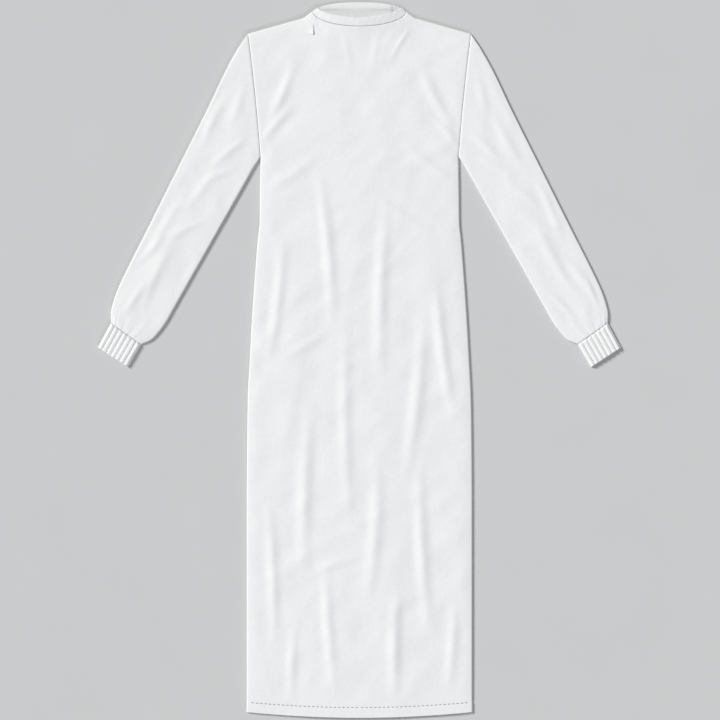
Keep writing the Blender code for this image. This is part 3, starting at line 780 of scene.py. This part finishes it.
def add_cloth(name, outer, inner, flat, material, ring=False):
    """A closed thin shell between an outer and an inner grid of points.

    With ring each row closes on itself, and flat has one column more, for the seam.
    """
    count = outer[..., 0].size
    index = np.arange(count).reshape(outer.shape[:2])
    if ring:
        index = closed(index)
        chains = [(index[0], flat[0]), (index[-1, ::-1], flat[-1, ::-1])]
    else:
        chains = [(round_edge(index), round_edge(flat))]
    quads = [corner_sets(index), corner_sets(index)[:, ::-1] + count]
    places = [corner_sets(flat), corner_sets(flat)[:, ::-1]]
    for chain, along in chains:
        rim = [chain[1:], chain[:-1], chain[:-1] + count, chain[1:] + count]
        quads.append(np.stack(rim, axis=1))
        places.append(np.stack([along[1:], along[:-1], along[:-1], along[1:]], axis=1))
    points = np.concatenate([outer.reshape(-1, 3), inner.reshape(-1, 3)])
    whole = facing_out(points, [np.concatenate(quads)], [np.concatenate(places)])
    return add_mesh(name, points, *whole, material)


def flat_places(points):
    """Places on the flat cloth of a grid that hardly curves: along its rows and its columns."""
    return np.stack([points[..., 0], walked(points)], axis=-1)


def tube_flat(points):
    """Places on the flat cloth of a tube: round it from its first point, and along it."""
    around = walked(closed(points), axis=1)
    along = np.broadcast_to(walked(points.mean(axis=1))[:, None], around.shape)
    return np.stack([around, along], axis=-1)


def body_plan(columns, outer, top_line):
    """Plan places of a body panel.

    Each column runs from the hem to the top line. Columns within the shoulder's bend run
    straight up, and the others lean with the side seam and the armhole. Rows follow an even
    course below the top line and turn to it just before they reach it.
    """
    bend = SHOULDER_BEND[0]
    lean = np.clip((columns - bend) / (columns[-1] - bend), 0.0, 1.0)
    climb = (outer[:, 1] - outer[0, 1]) / (outer[-1, 1] - outer[0, 1])
    x = columns[None, :] + lean[None, :] * (outer[:, :1] - columns[-1])
    foot = hem(x[0])
    beside = np.linspace(-EVEN_REACH, EVEN_REACH, EVEN_PLACES)
    even_top = top_line(columns[:, None] + beside).mean(axis=1)
    turn = smooth_step((climb - 1.0) / TOP_TURN + 1.0)[:, None]
    top = even_top + (top_line(columns) - even_top) * turn
    return np.stack([x, foot + (top - foot) * climb[:, None]], axis=-1)


def outer_line(spacing):
    """Places up the side seam and the armhole, close together at the hem and at the top."""
    near_hem = HEM_CORNER[1] + HEM_STEPS
    count = int((UNDERARM[1] - near_hem[-1]) / spacing)
    up_side = np.linspace(near_hem[-1], UNDERARM[1], count, endpoint=False)[1:]
    heights = np.concatenate([near_hem, up_side])
    seam = np.stack([side_half_width(heights), heights], axis=-1)
    length = SHOULDER_TIP[1] - UNDERARM[1]
    steps = EDGE_STEPS / length
    shares = np.linspace(0.0, 1.0 - steps[0], int(length / spacing))[:-1]
    below = shares[shares < TICK_ROWS_START]
    above = shares[shares > TICK_ROWS_END]
    outer = np.concatenate([seam, armhole(np.concatenate([below, TICK_ROWS, above, 1.0 - steps]))])
    return outer - np.array([SEAM_GAP / 2.0, 0.0])


def columns_to_armhole(start, spacing):
    """Columns from the neck's side to the armhole, close together at the end."""
    last = SHOULDER_TIP[0] - SEAM_GAP / 2.0
    to_bend = start + (SHOULDER_BEND[0] - start) * BEND_SHARES
    count = int((last - SHOULDER_BEND[0]) / spacing)
    to_edge = np.linspace(SHOULDER_BEND[0], last - EDGE_STEPS[0], count)[1:-1]
    return np.concatenate([to_bend, to_edge, last - EDGE_STEPS])


def turned_hem(plan, surface, way):
    """A panel's points with its hem turned: up the inside, round the fold and up the outside."""
    up = np.linspace(HEM_ALLOWANCE, HEM_FOLD, HEM_ROWS)
    inside = plan[0] + up[:, None, None] * np.array([0.0, 1.0])
    edge = inside[-1]
    turns = np.radians(HEM_FOLD_ANGLES)[:, None]
    fold = edge - HEM_FOLD * np.sin(turns)[..., None] * np.array([0.0, 1.0])
    heights = []
    for place, lift in ((inside, 2.0), (edge, 1.0 - np.cos(turns))):
        opened = quarter_round(panel_distances(place[..., 0], place[..., 1])[3] / CURL)
        heights.append(surface(place[..., 0], place[..., 1]) + way * HEM_FOLD * lift * opened)
    heights.append(surface(plan[1:, :, 0], plan[1:, :, 1]))
    return with_height(np.concatenate([inside, fold, plan[1:]]), np.concatenate(heights))


def build_front(material):
    """The front panel: a thin sheet over its plan, its hem turned up inside."""
    reach = BAND_FOOT[0] + SEAM_GAP
    at_neck = reach * np.sin(np.linspace(0.0, math.pi / 2.0, NECK_POINTS))
    near_tick = -TICK_EDGE_X - TICK_COLUMNS
    half = np.concatenate([at_neck, near_tick, columns_to_armhole(reach, FRONT_COLUMN)])
    plan = body_plan(np.unique(np.round(half, 6)), outer_line(FRONT_ROW), front_top)
    plan = np.concatenate([plan[:, :0:-1] * np.array([-1.0, 1.0]), plan], axis=1)
    outer = turned_hem(plan, front_surface, -1.0)
    across = (outer[..., 0] - TICK_EDGE_X) / TICK_WIDTH
    along = (outer[..., 1] - (TICK_TOP + TICK_FOOT) / 2.0) / TICK_HALF_LENGTH
    upright = smooth_step(2.0 - np.hypot(across, along))[..., None]
    normal = grid_normals(outer) * (1.0 - upright) + upright * np.array([0.0, 0.0, 1.0])
    return add_cloth("front_cloth", outer, outer - CLOTH * normal, flat_places(outer), material)


def build_back(name, side, lifted, material):
    """One back half, from its free edge past the centre to its side seam."""
    reach = BAND_FOOT[0]
    across_lap = np.linspace(-LAP, reach, LAP_COLUMNS)
    columns = np.concatenate([across_lap, columns_to_armhole(reach, BACK_COLUMN)])
    plan = body_plan(columns, outer_line(BACK_ROW), back_top) * np.array([side, 1.0])
    outer = turned_hem(plan, lambda x, y: back_surface(x, y, side, lifted), 1.0)
    inner = outer + CLOTH * side * grid_normals(outer)
    return add_cloth(name, outer, inner, flat_places(outer), material)


def sleeve_edges(share):
    """The two folded edges of the wearer's left sleeve at shares of its length."""
    read = [smooth_through(SLEEVE[:, 0], SLEEVE[:, k], share) for k in range(1, 5)]
    return np.stack(read[:2], axis=-1), np.stack(read[2:], axis=-1)


def tube_places(start, end, edge, top_count, under_count):
    """Points round a flattened tube, for rows that run between its two folded edges.

    From the top's first side across to the second, round its fold, back underneath and round
    the first fold. Returns the places in plan, the distances across and inwards from the folds,
    the widths and headings of the rows, and the share of the full height.
    """
    width = np.linalg.norm(end - start, axis=1)[:, None]
    heading = (end - start) / width
    run = np.linspace(0.0, 1.0, top_count)
    run = EVEN_SHARE * run + (1.0 - EVEN_SHARE) * (1.0 - np.cos(math.pi * run)) / 2.0
    turns = np.radians(TUBE_FOLD_ANGLES)
    top = edge + (width - 2.0 * edge) * run
    far = (width - edge) + edge * np.cos(turns)
    under = edge + (width - 2.0 * edge) * np.linspace(1.0, 0.0, under_count)
    near = edge - edge * np.cos(turns)
    across = np.concatenate([top, far, under, near], axis=1)
    climb = (1.0 + np.sin(turns)) / 2.0
    level = np.concatenate([np.ones(top_count), climb, np.zeros(under_count), climb[::-1]])
    plan = start[:, None, :] + across[..., None] * heading[:, None, :]
    inwards = np.minimum(across, width - across) - edge
    return plan, across, inwards, width, heading, level


def gather_heights(across, inwards, width, from_cuff, shift=0.0):
    """Uneven ridges that run from the cuff up the sleeve and fade."""
    total = np.zeros(across.shape)
    for place, half_width, height, reach in GATHERS:
        fade = np.clip(1.0 - from_cuff / reach, 0.0, 1.0) ** GATHER_FADE
        spread = half_width * (1.0 + GATHER_SPREAD * (1.0 - fade))
        total += height * fade * bell(across - (place + shift) * width, spread)
    return total * eased(inwards, GATHER_START)


def build_sleeve(name, side, folds, creases, seed, material):
    """A set-in sleeve: a flattened tube from the armhole seam to the gathers at the cuff.

    The top has soft folds, creases and slight crumpling. It rolls down to the armhole seam and
    to the cuff seam, and a fine groove along the inner fold is the underarm seam.
    """
    length = math.dist(SHOULDER_TIP, CUFF_OUTER_CORNER)
    first = EDGE_STEPS / length
    last = 1.0 - CUFF_END_SPREAD * first
    middle = np.linspace(first[0], last[0], SLEEVE_SECTIONS)[1:-1]
    share = np.concatenate([first[::-1], middle, last])
    at_armhole = 1.0 - eased(share * length, SLEEVE_BLEND)[:, None]
    at_cuff = smooth_step(1.0 - (1.0 - share) * length / GATHER_REACH)[:, None]
    seam_edge = WALL + SEWN_LAYER_GAP / 2.0
    edge = SLEEVE_EDGE + (seam_edge - SLEEVE_EDGE) * at_armhole
    edge = edge + (CUFF_EDGE - SLEEVE_EDGE) * at_cuff
    shift = at_armhole * np.array([SEAM_GAP / 2.0, 0.0])
    start, end = [line + shift for line in sleeve_edges(share)]
    rows = tube_places(start, end, edge, SLEEVE_TOP_POINTS, SLEEVE_UNDER_POINTS)
    plan, across, inwards, width, heading, level = rows
    plan[..., 0] -= ARMHOLE_BOW * at_armhole * np.sin(math.pi * np.clip(across / width, 0.0, 1.0))
    x = plan[..., 0]
    y = plan[..., 1]
    from_armhole = distance_to_line(x, y, ARMHOLE_LINE)
    from_cuff = distance_to_line(x, y, CUFF_LINE)
    own = SLEEVE_HEIGHT + ridge_heights(x, y, folds, FOLD_FADE, 0.0)
    own = own + (CUFF_HEIGHT - own) * at_cuff
    calm = eased(inwards, SLEEVE_FOLD_CALM) * eased(from_cuff, CUFF_CALM)
    crease_calm = calm * eased(from_armhole, ARMHOLE_CALM, SLEEVE_CREASE_LEAST)
    own = own + ridge_heights(x, y, creases) * crease_calm
    own = own + SLEEVE_CRUMPLE * crumple(x, y, seed) * calm * eased(from_armhole, SLEEVE_TOP_CALM)
    own = own + gather_heights(across, inwards, width, from_cuff)
    climb = quarter_round(inwards / np.minimum(SLEEVE_ROLL, SLEEVE_ROLL_MOST * width))
    own = 2.0 * edge + (own - 2.0 * edge) * climb
    seam = front_underside(x * side, y) + WALL
    top = seam * at_armhole + own * (1.0 - at_armhole)
    top = top + puckers(y, from_armhole, *SLEEVE_PUCKERS) * eased(inwards, SLEEVE_PUCKER_START)
    under = gather_heights(across, inwards, width, from_cuff, UNDER_GATHER_SHIFT)
    low = FLOOR_GAP + np.where(level == 0.0, UNDER_GATHER_SHARE * under, 0.0)
    height = low + (np.where(level == 1.0, top, 2.0 * edge) - low) * level
    dip = np.maximum(
        rolled(from_armhole, SEAM_ROLL, SEAM_DIP),
        rolled(from_cuff, SEAM_ROLL, CUFF_DIP),
    )
    height = height - dip * level + SLEEVE_UNDER_DIP * dip * (1.0 - level)
    groove = np.where((level == 0.5) & (across > width / 2.0), UNDERARM_GROOVE, 0.0)
    plan = plan - groove[..., None] * heading[:, None, :]
    outer = with_height(plan, height) * np.array([side, 1.0, 1.0])
    inner = outer - CLOTH * side * grid_normals(outer, ring=True)
    return add_cloth(name, outer, inner, tube_flat(outer), material, ring=True)


def build_cuff(name, side, material):
    """A rib-knit cuff: a flattened tube with seven ribs on each side and a rounded open end."""
    run = CUFF_OUTER_CORNER - CUFF_LINE[0]
    length = math.hypot(*run)
    even = np.linspace(CUFF_SECTIONS_START, 1.0 - KNIT / 2.0 / length, CUFF_SECTIONS)
    share = np.concatenate([CUFF_STEPS / length, even])[:, None]
    start = CUFF_LINE[0] + share * run
    end = CUFF_LINE[1] + share * (CUFF_INNER_CORNER - CUFF_LINE[1])
    edge = np.full(share.shape, CUFF_EDGE)
    count = STEPS_TO_A_RIB * RIBS + 1
    plan, across, inwards, width, _, level = tube_places(start, end, edge, count, count)
    from_seam = share * length
    slant = CUFF_SLACK_SLANT * across / width
    slack = CUFF_SLACK * np.sin(FULL_TURN * from_seam / CUFF_SLACK_LENGTH + slant)
    ribs = np.abs(np.sin(math.pi * RIBS * across / width)) ** RIB_POWER
    ribs = ribs * eased(inwards, RIB_START) * eased(from_seam - SEAM_GAP, SEAM_ROLL)
    climb = quarter_round(inwards / CUFF_ROLL)
    top = 2.0 * edge + (CUFF_HEIGHT - 2.0 * edge + slack) * climb
    plain = np.where(level == 1.0, top, 2.0 * edge) * level + FLOOR_GAP * (1.0 - level)
    plain = plain + np.where(level == 0.0, UNDER_RIB, 0.0)
    relief = ribs * (RIB_HEIGHT * (level == 1.0) - UNDER_RIB * (level == 0.0))
    dip = rolled(from_seam, SEAM_ROLL, CUFF_DIP)
    plain = plain - dip * level + CUFF_UNDER_DIP * dip * (1.0 - level)
    outer = with_height(plan, plain + relief)
    smooth = with_height(plan, plain + RIB_INSIDE_SHARE * relief)
    inner = smooth - KNIT * grid_normals(smooth, ring=True)
    middle = (outer[-1] + inner[-1]) / 2.0
    half = (outer[-1] - inner[-1]) / 2.0
    lips = np.radians(LIP_ANGLES)[:, None, None]
    lip_end = middle + np.append(run / length, 0.0) * KNIT / 2.0 * np.sin(lips)
    mirror = np.array([side, 1.0, 1.0])
    outer = np.concatenate([outer, lip_end + half * np.cos(lips)]) * mirror
    inner = np.concatenate([inner, lip_end - half * np.cos(lips)]) * mirror
    return add_cloth(name, outer, inner, tube_flat(outer), material, ring=True)


def band_layer(head_x, foot_x, across, layer):
    """The neck binding's middle surface where it lies flat."""
    if layer == "front":
        lines = (front_neckline(head_x), front_band_seam(foot_x))
    else:
        lines = (back_neckline(head_x), back_band_seam(foot_x))
    head = np.stack([head_x, lines[0]], axis=-1)
    foot = np.stack([foot_x, lines[1]], axis=-1)
    plan = head + (foot - head) * across[:, None, None]
    x = plan[..., 0]
    height = np.full(x.shape, BINDING / 2.0 + FLOOR_GAP)
    if layer == "inner":
        height = height + INNER_LIFT * lap_climb(x)
    if layer == "front":
        height = front_underside(x, plan[..., 1]) + WALL - BINDING / 2.0 + neck_gape(x, plan[..., 1])
        slant = BAND_WAVE_SLANT * across[:, None]
        height = height + BAND_WAVE * np.sin(FULL_TURN * x / BAND_WAVE_LENGTH + slant)
    return with_height(plan, height)


def band_fold(side, angles, across):
    """The neck binding's middle surface round its fold, 0 on the back layer to 180 in front."""
    head = np.array(NECK_SIDE)
    foot = np.array(BAND_FOOT)
    across = across[:, None]
    line = head + (foot - head) * across
    edge = (foot - head) / math.dist(foot, head)
    inwards = np.array([edge[1], -edge[0]])
    low = BINDING / 2.0 + FLOOR_GAP
    high = front_underside(side * line[:, 0], line[:, 1]) + WALL - BINDING / 2.0
    radius = ((high - low) / 2.0)[:, None]
    turn = np.radians(angles)[None, :]
    inset = radius * (1.0 - np.sin(turn)) + WALL / 2.0
    back_way = np.array(BACK_WAY) / np.dot(BACK_WAY, inwards)
    front_way = np.array(FRONT_WAY_AT_HEAD) * (1.0 - across) + np.array(FRONT_WAY_AT_FOOT) * across
    front_way = front_way / (front_way @ inwards)[:, None]
    to_front = np.clip((angles - BAND_TURN_START) / BAND_TURN_SPAN, 0.0, 1.0)[None, :, None]
    way = back_way * (1.0 - to_front) + front_way[:, None, :] * to_front
    plan = (line[:, None, :] + way * inset[..., None]) * np.array([side, 1.0])
    return with_height(plan, ((high + low) / 2.0)[:, None] - radius * np.cos(turn))


def build_neckband(material):
    """The neck binding: one rounded strip folded flat at both sides, its ends lapped behind."""
    span = (1.0 - np.cos(math.pi * np.linspace(0.0, 1.0, BAND_ROWS))) / 2.0
    across = BAND_WIDTH_SHARE * span
    angles = np.linspace(0.0, 180.0, BAND_TURNS)
    back_head = np.linspace(-LAP, BAND_SIDE_HEADS[0], BAND_BACK_SECTIONS)
    back_head = np.append(back_head, BAND_SIDE_HEADS[1])
    back_foot = np.interp(back_head, [-LAP, LAP, *BAND_SIDE_HEADS], [-LAP, LAP, *BAND_SIDE_FEET])
    share = np.linspace(BAND_FRONT_SHARE, -BAND_FRONT_SHARE, BAND_FRONT_SECTIONS)
    share = np.sin(share * math.pi / 2.0)
    share = share / share[0]
    front_head = share * NECK_SIDE[0] * BAND_HEAD_REACH
    front_foot = share * BAND_FOOT[0] * BAND_FOOT_REACH
    course = np.concatenate([
        band_layer(back_head, back_foot, across, "outer"),
        band_fold(1.0, angles, across),
        band_layer(front_head, front_foot, across, "front"),
        band_fold(-1.0, angles[::-1], across),
        band_layer(-back_head[::-1], -back_foot[::-1], across, "inner"),
    ], axis=1)
    normal = grid_normals(course)
    forwards = angles / 180.0
    back = np.ones(len(back_head))
    behind = np.concatenate([back, 1.0 - forwards, np.zeros(len(share)), forwards, back])
    foot_round = BAND_EDGE_ROUND + BAND_BACK_ROUND * behind
    head_edge = quarter_round(span[:, None] / BAND_EDGE_ROUND)
    foot_edge = quarter_round((1.0 - span[:, None]) / foot_round)
    run = walked(course[BAND_ROWS // 2])
    taper = eased(np.minimum(run, run[-1] - run), LAP_EDGE_ROLL, BAND_END_SHARE)
    half = (BINDING / 2.0 * np.minimum(head_edge, foot_edge) * taper)[..., None]
    course[..., 2] -= BINDING / 2.0 * (1.0 - taper)
    under = course - normal * half
    ring = np.concatenate([course + normal * half, under[-2:0:-1]]).transpose(1, 0, 2)
    points = ring.reshape(-1, 3)
    index = closed(np.arange(len(points)).reshape(ring.shape[:2]))
    groups = []
    for grid in (index, tube_flat(ring)):
        ends = np.stack([grid[0, -2::-1], grid[-1, :-1]])
        groups.append([corner_sets(grid), ends])
    return add_mesh("neckband_binding", points, *facing_out(points, *groups), material)


def build_stitches(material):
    """The hem's stitches: short round rods along the stitch line, sunk in at both ends."""
    step = (STITCH_LINE_HALF - STITCH_GAP) / STITCH_COUNT
    right = STITCH_GAP + step * (np.arange(STITCH_COUNT) + 0.5)
    x = np.concatenate([-right[::-1], right])
    slope = 2.0 * (STITCH_LINE_SIDE - STITCH_LINE_CENTRE) * x / STITCH_LINE_HALF**2
    ahead = np.stack([np.ones(len(x)), slope], axis=-1) / np.hypot(1.0, slope)[:, None]
    beside = np.stack([-ahead[:, 1], ahead[:, 0]], axis=-1)
    run = np.linspace(-1.0, 1.0, STITCH_RINGS)
    turns = np.linspace(0.0, FULL_TURN, STITCH_SIDES, endpoint=False)
    rounded = np.maximum(1.0 - run**STITCH_ROUND_POWER, STITCH_END_LEAST)
    thick = STITCH_RADIUS * np.sqrt(rounded)[:, None]
    middle = np.stack([x, stitch_line(x)], axis=-1)
    centre = middle[:, None] + (run * STITCH_LENGTH / 2.0)[:, None] * ahead[:, None]
    plan = centre[:, :, None] + (thick * np.cos(turns))[..., None] * beside[:, None, None]
    lift = front_surface(centre[..., 0], centre[..., 1]) + STITCH_PROUD
    lift = lift - STITCH_SUNK * run**STITCH_SUNK_POWER
    points = with_height(plan, lift[..., None] + thick * np.sin(turns))
    index = np.arange(points[..., 0].size).reshape(points.shape[:3])
    index = np.concatenate([index, index[:, :, :1]], axis=2)
    cells = [index[:, :-1, :-1], index[:, 1:, :-1], index[:, 1:, 1:], index[:, :-1, 1:]]
    caps = np.concatenate([index[:, 0, :-1], index[:, -1, -2::-1]])
    faces = [np.stack(cells, axis=-1).reshape(-1, 4), caps]
    points = points.reshape(-1, 3)
    places = [points[group][..., :2] for group in faces]
    whole = facing_out(points, faces, places)
    return add_mesh("hem_stitches", points, *whole, material, SHARP_STITCH_EDGE)


def connect(tree, socket, value):
    """Sets a socket, or links it if the value is an output."""
    if isinstance(value, bpy.types.NodeSocket):
        tree.links.new(value, socket)
    else:
        socket.default_value = value


def add_node(tree, kind, settings=(), **sockets):
    """A shader node with its settings, its sockets given as values or as links."""
    made = tree.nodes.new(kind)
    for name, value in settings:
        setattr(made, name, value)
    for name, value in sockets.items():
        connect(tree, made.inputs[name.replace("_", " ")], value)
    return made


def maths(tree, operation, *values):
    """The result of one calculation on values or outputs."""
    made = add_node(tree, "ShaderNodeMath", (("operation", operation),))
    for socket, value in zip(made.inputs, values):
        connect(tree, socket, value)
    return made.outputs[0]


def noise(tree, place, scale, **sockets):
    """The value of a noise texture."""
    return add_node(tree, "ShaderNodeTexNoise", Vector=place, Scale=scale, **sockets).outputs[0]


def bump(tree, height, strength, distance, **more):
    """The normal that a height gives, raised or sunk by the sign of its distance."""
    sunk = (("invert", distance < 0.0),)
    sockets = {"Height": height, "Strength": strength, "Distance": abs(distance), **more}
    return add_node(tree, "ShaderNodeBump", sunk, **sockets).outputs[0]


def new_group(name, values, results):
    """An empty node group that reads a place and named values, with its inputs and outputs."""
    group = bpy.data.node_groups.new(name, "ShaderNodeTree")
    group.interface.new_socket(name="Place", in_out="INPUT", socket_type="NodeSocketVector")
    for label, value in values:
        socket = group.interface.new_socket(name=label, in_out="INPUT", socket_type="NodeSocketFloat")
        socket.default_value = value
    for label in results:
        group.interface.new_socket(name=label, in_out="OUTPUT", socket_type="NodeSocketFloat")
    given = group.nodes.new("NodeGroupInput").outputs
    return group, given, group.nodes.new("NodeGroupOutput").inputs


def fibre_group():
    """Clouds of laid fibres: a slow unevenness and a fine one, as a shade and a height."""
    scales = (("Cloud Scale", 170.0), ("Fibre Scale", 900.0), ("Crumple Scale", 55.0))
    group, given, result = new_group("laid_fibres", scales, ("Shade", "Height", "Crumple"))
    place = given["Place"]
    clouds = noise(group, place, given["Cloud Scale"], Detail=4.0)
    fibres = noise(group, place, given["Fibre Scale"], Detail=2.0, Distortion=1.6)
    bends = noise(group, place, given["Crumple Scale"], Detail=1.5, Distortion=0.15)
    clouds = maths(group, "MULTIPLY", clouds, CLOUD_SHARE)
    shade = maths(group, "MULTIPLY_ADD", fibres, 1.0 - CLOUD_SHARE, clouds)
    connect(group, result["Shade"], shade)
    connect(group, result["Height"], fibres)
    folded = maths(group, "ABSOLUTE", maths(group, "SUBTRACT", bends, 0.5))
    connect(group, result["Crumple"], folded)
    return group


def bond_group():
    """Small welded points in a diamond pattern, 1 in the middle of each."""
    group, given, result = new_group("weld_points", (("Pitch", 0.0022),), ("Points",))
    split = add_node(group, "ShaderNodeSeparateXYZ", Vector=given["Place"])
    turn = maths(group, "DIVIDE", FULL_TURN, given["Pitch"])
    across = maths(group, "SINE", maths(group, "MULTIPLY", split.outputs[0], turn))
    along = maths(group, "SINE", maths(group, "MULTIPLY", split.outputs[1], turn))
    points = add_node(
        group,
        "ShaderNodeMapRange",
        (("interpolation_type", "SMOOTHSTEP"),),
        Value=maths(group, "MULTIPLY", across, along),
        From_Min=0.45,
        From_Max=0.85,
    )
    connect(group, result["Points"], points.outputs["Result"])
    return group


def knit_group():
    """Knitted loops: a V in each wale, repeating with each course, as a height and as painted shade,
    darker where the loops sink.
    """
    pitches = (("Wale", 0.0024), ("Course", 0.0019))
    group, given, result = new_group("knitted_loops", pitches, ("Height", "Shade"))
    split = add_node(group, "ShaderNodeSeparateXYZ", Vector=given["Place"])
    wale = maths(group, "FRACT", maths(group, "DIVIDE", split.outputs[0], given["Wale"]))
    away = maths(group, "ABSOLUTE", maths(group, "SUBTRACT", wale, 0.5))
    away = maths(group, "MULTIPLY", away, 2.0)
    course = maths(group, "DIVIDE", split.outputs[1], given["Course"])
    slanted = maths(group, "MULTIPLY_ADD", away, LOOP_SLANT, course)
    loop = maths(group, "ABSOLUTE", maths(group, "SINE", maths(group, "MULTIPLY", slanted, math.pi)))
    crown = maths(group, "SUBTRACT", 1.0, maths(group, "POWER", away, 3.0))
    height = maths(group, "MULTIPLY", crown, maths(group, "MULTIPLY_ADD", loop, 0.5, 0.5))
    connect(group, result["Height"], height)
    # Painted shade: the lower the loop's surface, the darker its colour
    connect(group, result["Shade"], maths(group, "MULTIPLY_ADD", height, 0.5, 0.5))
    return group


def new_material(name, roughness, sheen):
    """A matt dielectric material, its tree, its shader and the places it may read."""
    material = bpy.data.materials.new(name)
    material.use_nodes = True
    tree = material.node_tree
    shader = tree.nodes["Principled BSDF"]
    for label, value in (
        ("Roughness", roughness),
        ("Metallic", 0.0),
        ("Sheen Weight", sheen),
        ("Sheen Roughness", 0.5),
        ("Specular IOR Level", 0.35),
    ):
        shader.inputs[label].default_value = value
    return material, tree, shader.inputs, tree.nodes.new("ShaderNodeTexCoord").outputs


def use_group(tree, group, place):
    """The outputs of a node group that reads a place."""
    return add_node(tree, "ShaderNodeGroup", (("node_tree", group),), Place=place).outputs


def shade_between(tree, share, dark, light):
    """A colour between two, by a share from 0 to 1."""
    made = add_node(tree, "ShaderNodeMix", (("data_type", "RGBA"),))
    for socket, value in zip(MIX_TAKES, (share, dark, light)):
        connect(tree, made.inputs[socket], value)
    return made.outputs[MIX_GIVES]


def nonwoven_material(name, fibres, bonds, dark, light):
    """White nonwoven cloth: laid fibres, welded points and a faint crumple."""
    material, tree, shader, places = new_material(name, roughness=0.82, sheen=0.15)
    laid = use_group(tree, fibres, places["Object"])
    welds = use_group(tree, bonds, places["UV"])
    connect(tree, shader["Base Color"], shade_between(tree, laid["Shade"], dark, light))
    normal = bump(tree, laid["Crumple"], strength=0.4, distance=0.0012)
    normal = bump(tree, laid["Height"], strength=0.35, distance=0.00004, Normal=normal)
    normal = bump(tree, welds["Points"], strength=0.35, distance=-0.00005, Normal=normal)
    connect(tree, shader["Normal"], normal)
    return material


def knit_material(name, fibres, loops):
    """White rib knit: rows of knitted loops with painted shade where they sink, slightly fuzzy."""
    material, tree, shader, places = new_material(name, roughness=0.9, sheen=0.35)
    knit = use_group(tree, loops, places["UV"])
    laid = use_group(tree, fibres, places["Object"])
    # The yarn's colour carries painted shade, darker where the knitted loops sink
    yarn = shade_between(tree, knit["Shade"], *YARN_PAINTED_SHADE_COLOURS)
    fuzz = maths(tree, "MULTIPLY", laid["Shade"], FUZZ_SHARE)
    connect(tree, shader["Base Color"], shade_between(tree, fuzz, yarn, FUZZ_COLOUR))
    connect(tree, shader["Normal"], bump(tree, knit["Height"], strength=0.7, distance=0.0004))
    return material


def plain_material(name, colour, roughness):
    """A plain matt material with a faint cloudiness."""
    material, tree, shader, places = new_material(name, roughness, sheen=0.0)
    cloud = noise(tree, places["Object"], scale=9.0)
    darker = (*(CLOUDY_SHADE * value for value in colour[:3]), 1.0)
    connect(tree, shader["Base Color"], shade_between(tree, cloud, darker, colour))
    return material


def add_floor(material):
    """A wide plain floor just under the gown."""
    half_size = 30.0
    below = 0.0002
    corners = half_size * np.array([(-1.0, -1.0), (1.0, -1.0), (1.0, 1.0), (-1.0, 1.0)])
    points = with_height(corners, np.full(4, -below))
    floor = add_mesh("floor", points, [np.array([[0, 1, 2, 3]])], [corners], material)


def add_soft_light(name, place, strength, colour):
    """A wide soft light from far off, on the line from a place to the gown's middle."""
    spread = 17.0
    data = bpy.data.lights.new(name, "SUN")
    data.energy = strength
    data.angle = math.radians(spread)
    data.color = colour
    lamp = bpy.data.objects.new(name, data)
    lamp.location = place
    yaw = math.atan2(-place[1], -place[0])
    pitch = math.acos(place[2] / math.hypot(*place))
    lamp.rotation_euler = (pitch, 0.0, yaw - math.pi / 2.0)
    scene.collection.objects.link(lamp)


def add_camera():
    """A camera straight above the gown, far off with a long lens, Y upwards in the picture."""
    height = 4.5
    width_in_view = 1.26
    middle_x, middle_y, middle_z = (0.0009, -0.0001, 0.003)
    data = bpy.data.cameras.new("camera")
    data.sensor_width = 36.0
    data.lens = data.sensor_width * height / width_in_view
    data.clip_end = 60.0
    camera = bpy.data.objects.new("camera", data)
    camera.location = (middle_x, middle_y, height + middle_z)
    scene.collection.objects.link(camera)
    scene.camera = camera


def add_room_light():
    """Even light from all round, without a tint of its own in the picture."""
    world = bpy.data.worlds.new("soft_room")
    world.use_nodes = True
    sky = world.node_tree.nodes["Background"].inputs
    sky["Color"].default_value = (0.93, 0.96, 1.0, 1.0)
    sky["Strength"].default_value = 0.26
    scene.world = world
    scene.view_settings.view_transform = "Standard"


def finish_piece(piece, node):
    """Fixes a piece to the gown, in the place of its solid, which it hides."""
    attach(piece, "root")
    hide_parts(node)
    return piece


fibres = fibre_group()
bonds = bond_group()
loops = knit_group()
gown_cloth = nonwoven_material("white_nonwoven", fibres, bonds, *CLOTH_COLOURS)
binding_cloth = nonwoven_material("white_binding", fibres, bonds, *BINDING_COLOURS)
cuff_knit = knit_material("white_rib_knit", fibres, loops)
thread = plain_material("grey_thread", THREAD_COLOUR, roughness=0.7)
floor_paint = plain_material("pale_floor", FLOOR_COLOUR, roughness=0.85)

left_look = (LEFT_SLEEVE_FOLDS, LEFT_SLEEVE_CREASES, LEFT_SEED, gown_cloth)
right_look = (RIGHT_SLEEVE_FOLDS, RIGHT_SLEEVE_CREASES, RIGHT_SEED, gown_cloth)
front = finish_piece(build_front(gown_cloth), "front")
back_left = finish_piece(build_back("back_left_cloth", 1.0, False, gown_cloth), "back_left")
back_right = finish_piece(build_back("back_right_cloth", -1.0, True, gown_cloth), "back_right")
sleeve_left = finish_piece(build_sleeve("sleeve_left_cloth", 1.0, *left_look), "sleeve_left")
sleeve_right = finish_piece(build_sleeve("sleeve_right_cloth", -1.0, *right_look), "sleeve_right")
cuff_left = finish_piece(build_cuff("cuff_left_knit", 1.0, cuff_knit), "cuff_left")
cuff_right = finish_piece(build_cuff("cuff_right_knit", -1.0, cuff_knit), "cuff_right")
neckband = finish_piece(build_neckband(binding_cloth), "neckband")
stitches = finish_piece(build_stitches(thread), "front")

add_floor(floor_paint)
add_soft_light("key_light", (-5.6, 3.6, 4.0), strength=3.75, colour=(1.0, 0.985, 0.96))
add_soft_light("low_light", (2.2, -6.6, 3.4), strength=1.40, colour=(0.95, 0.975, 1.0))
add_room_light()
add_camera()
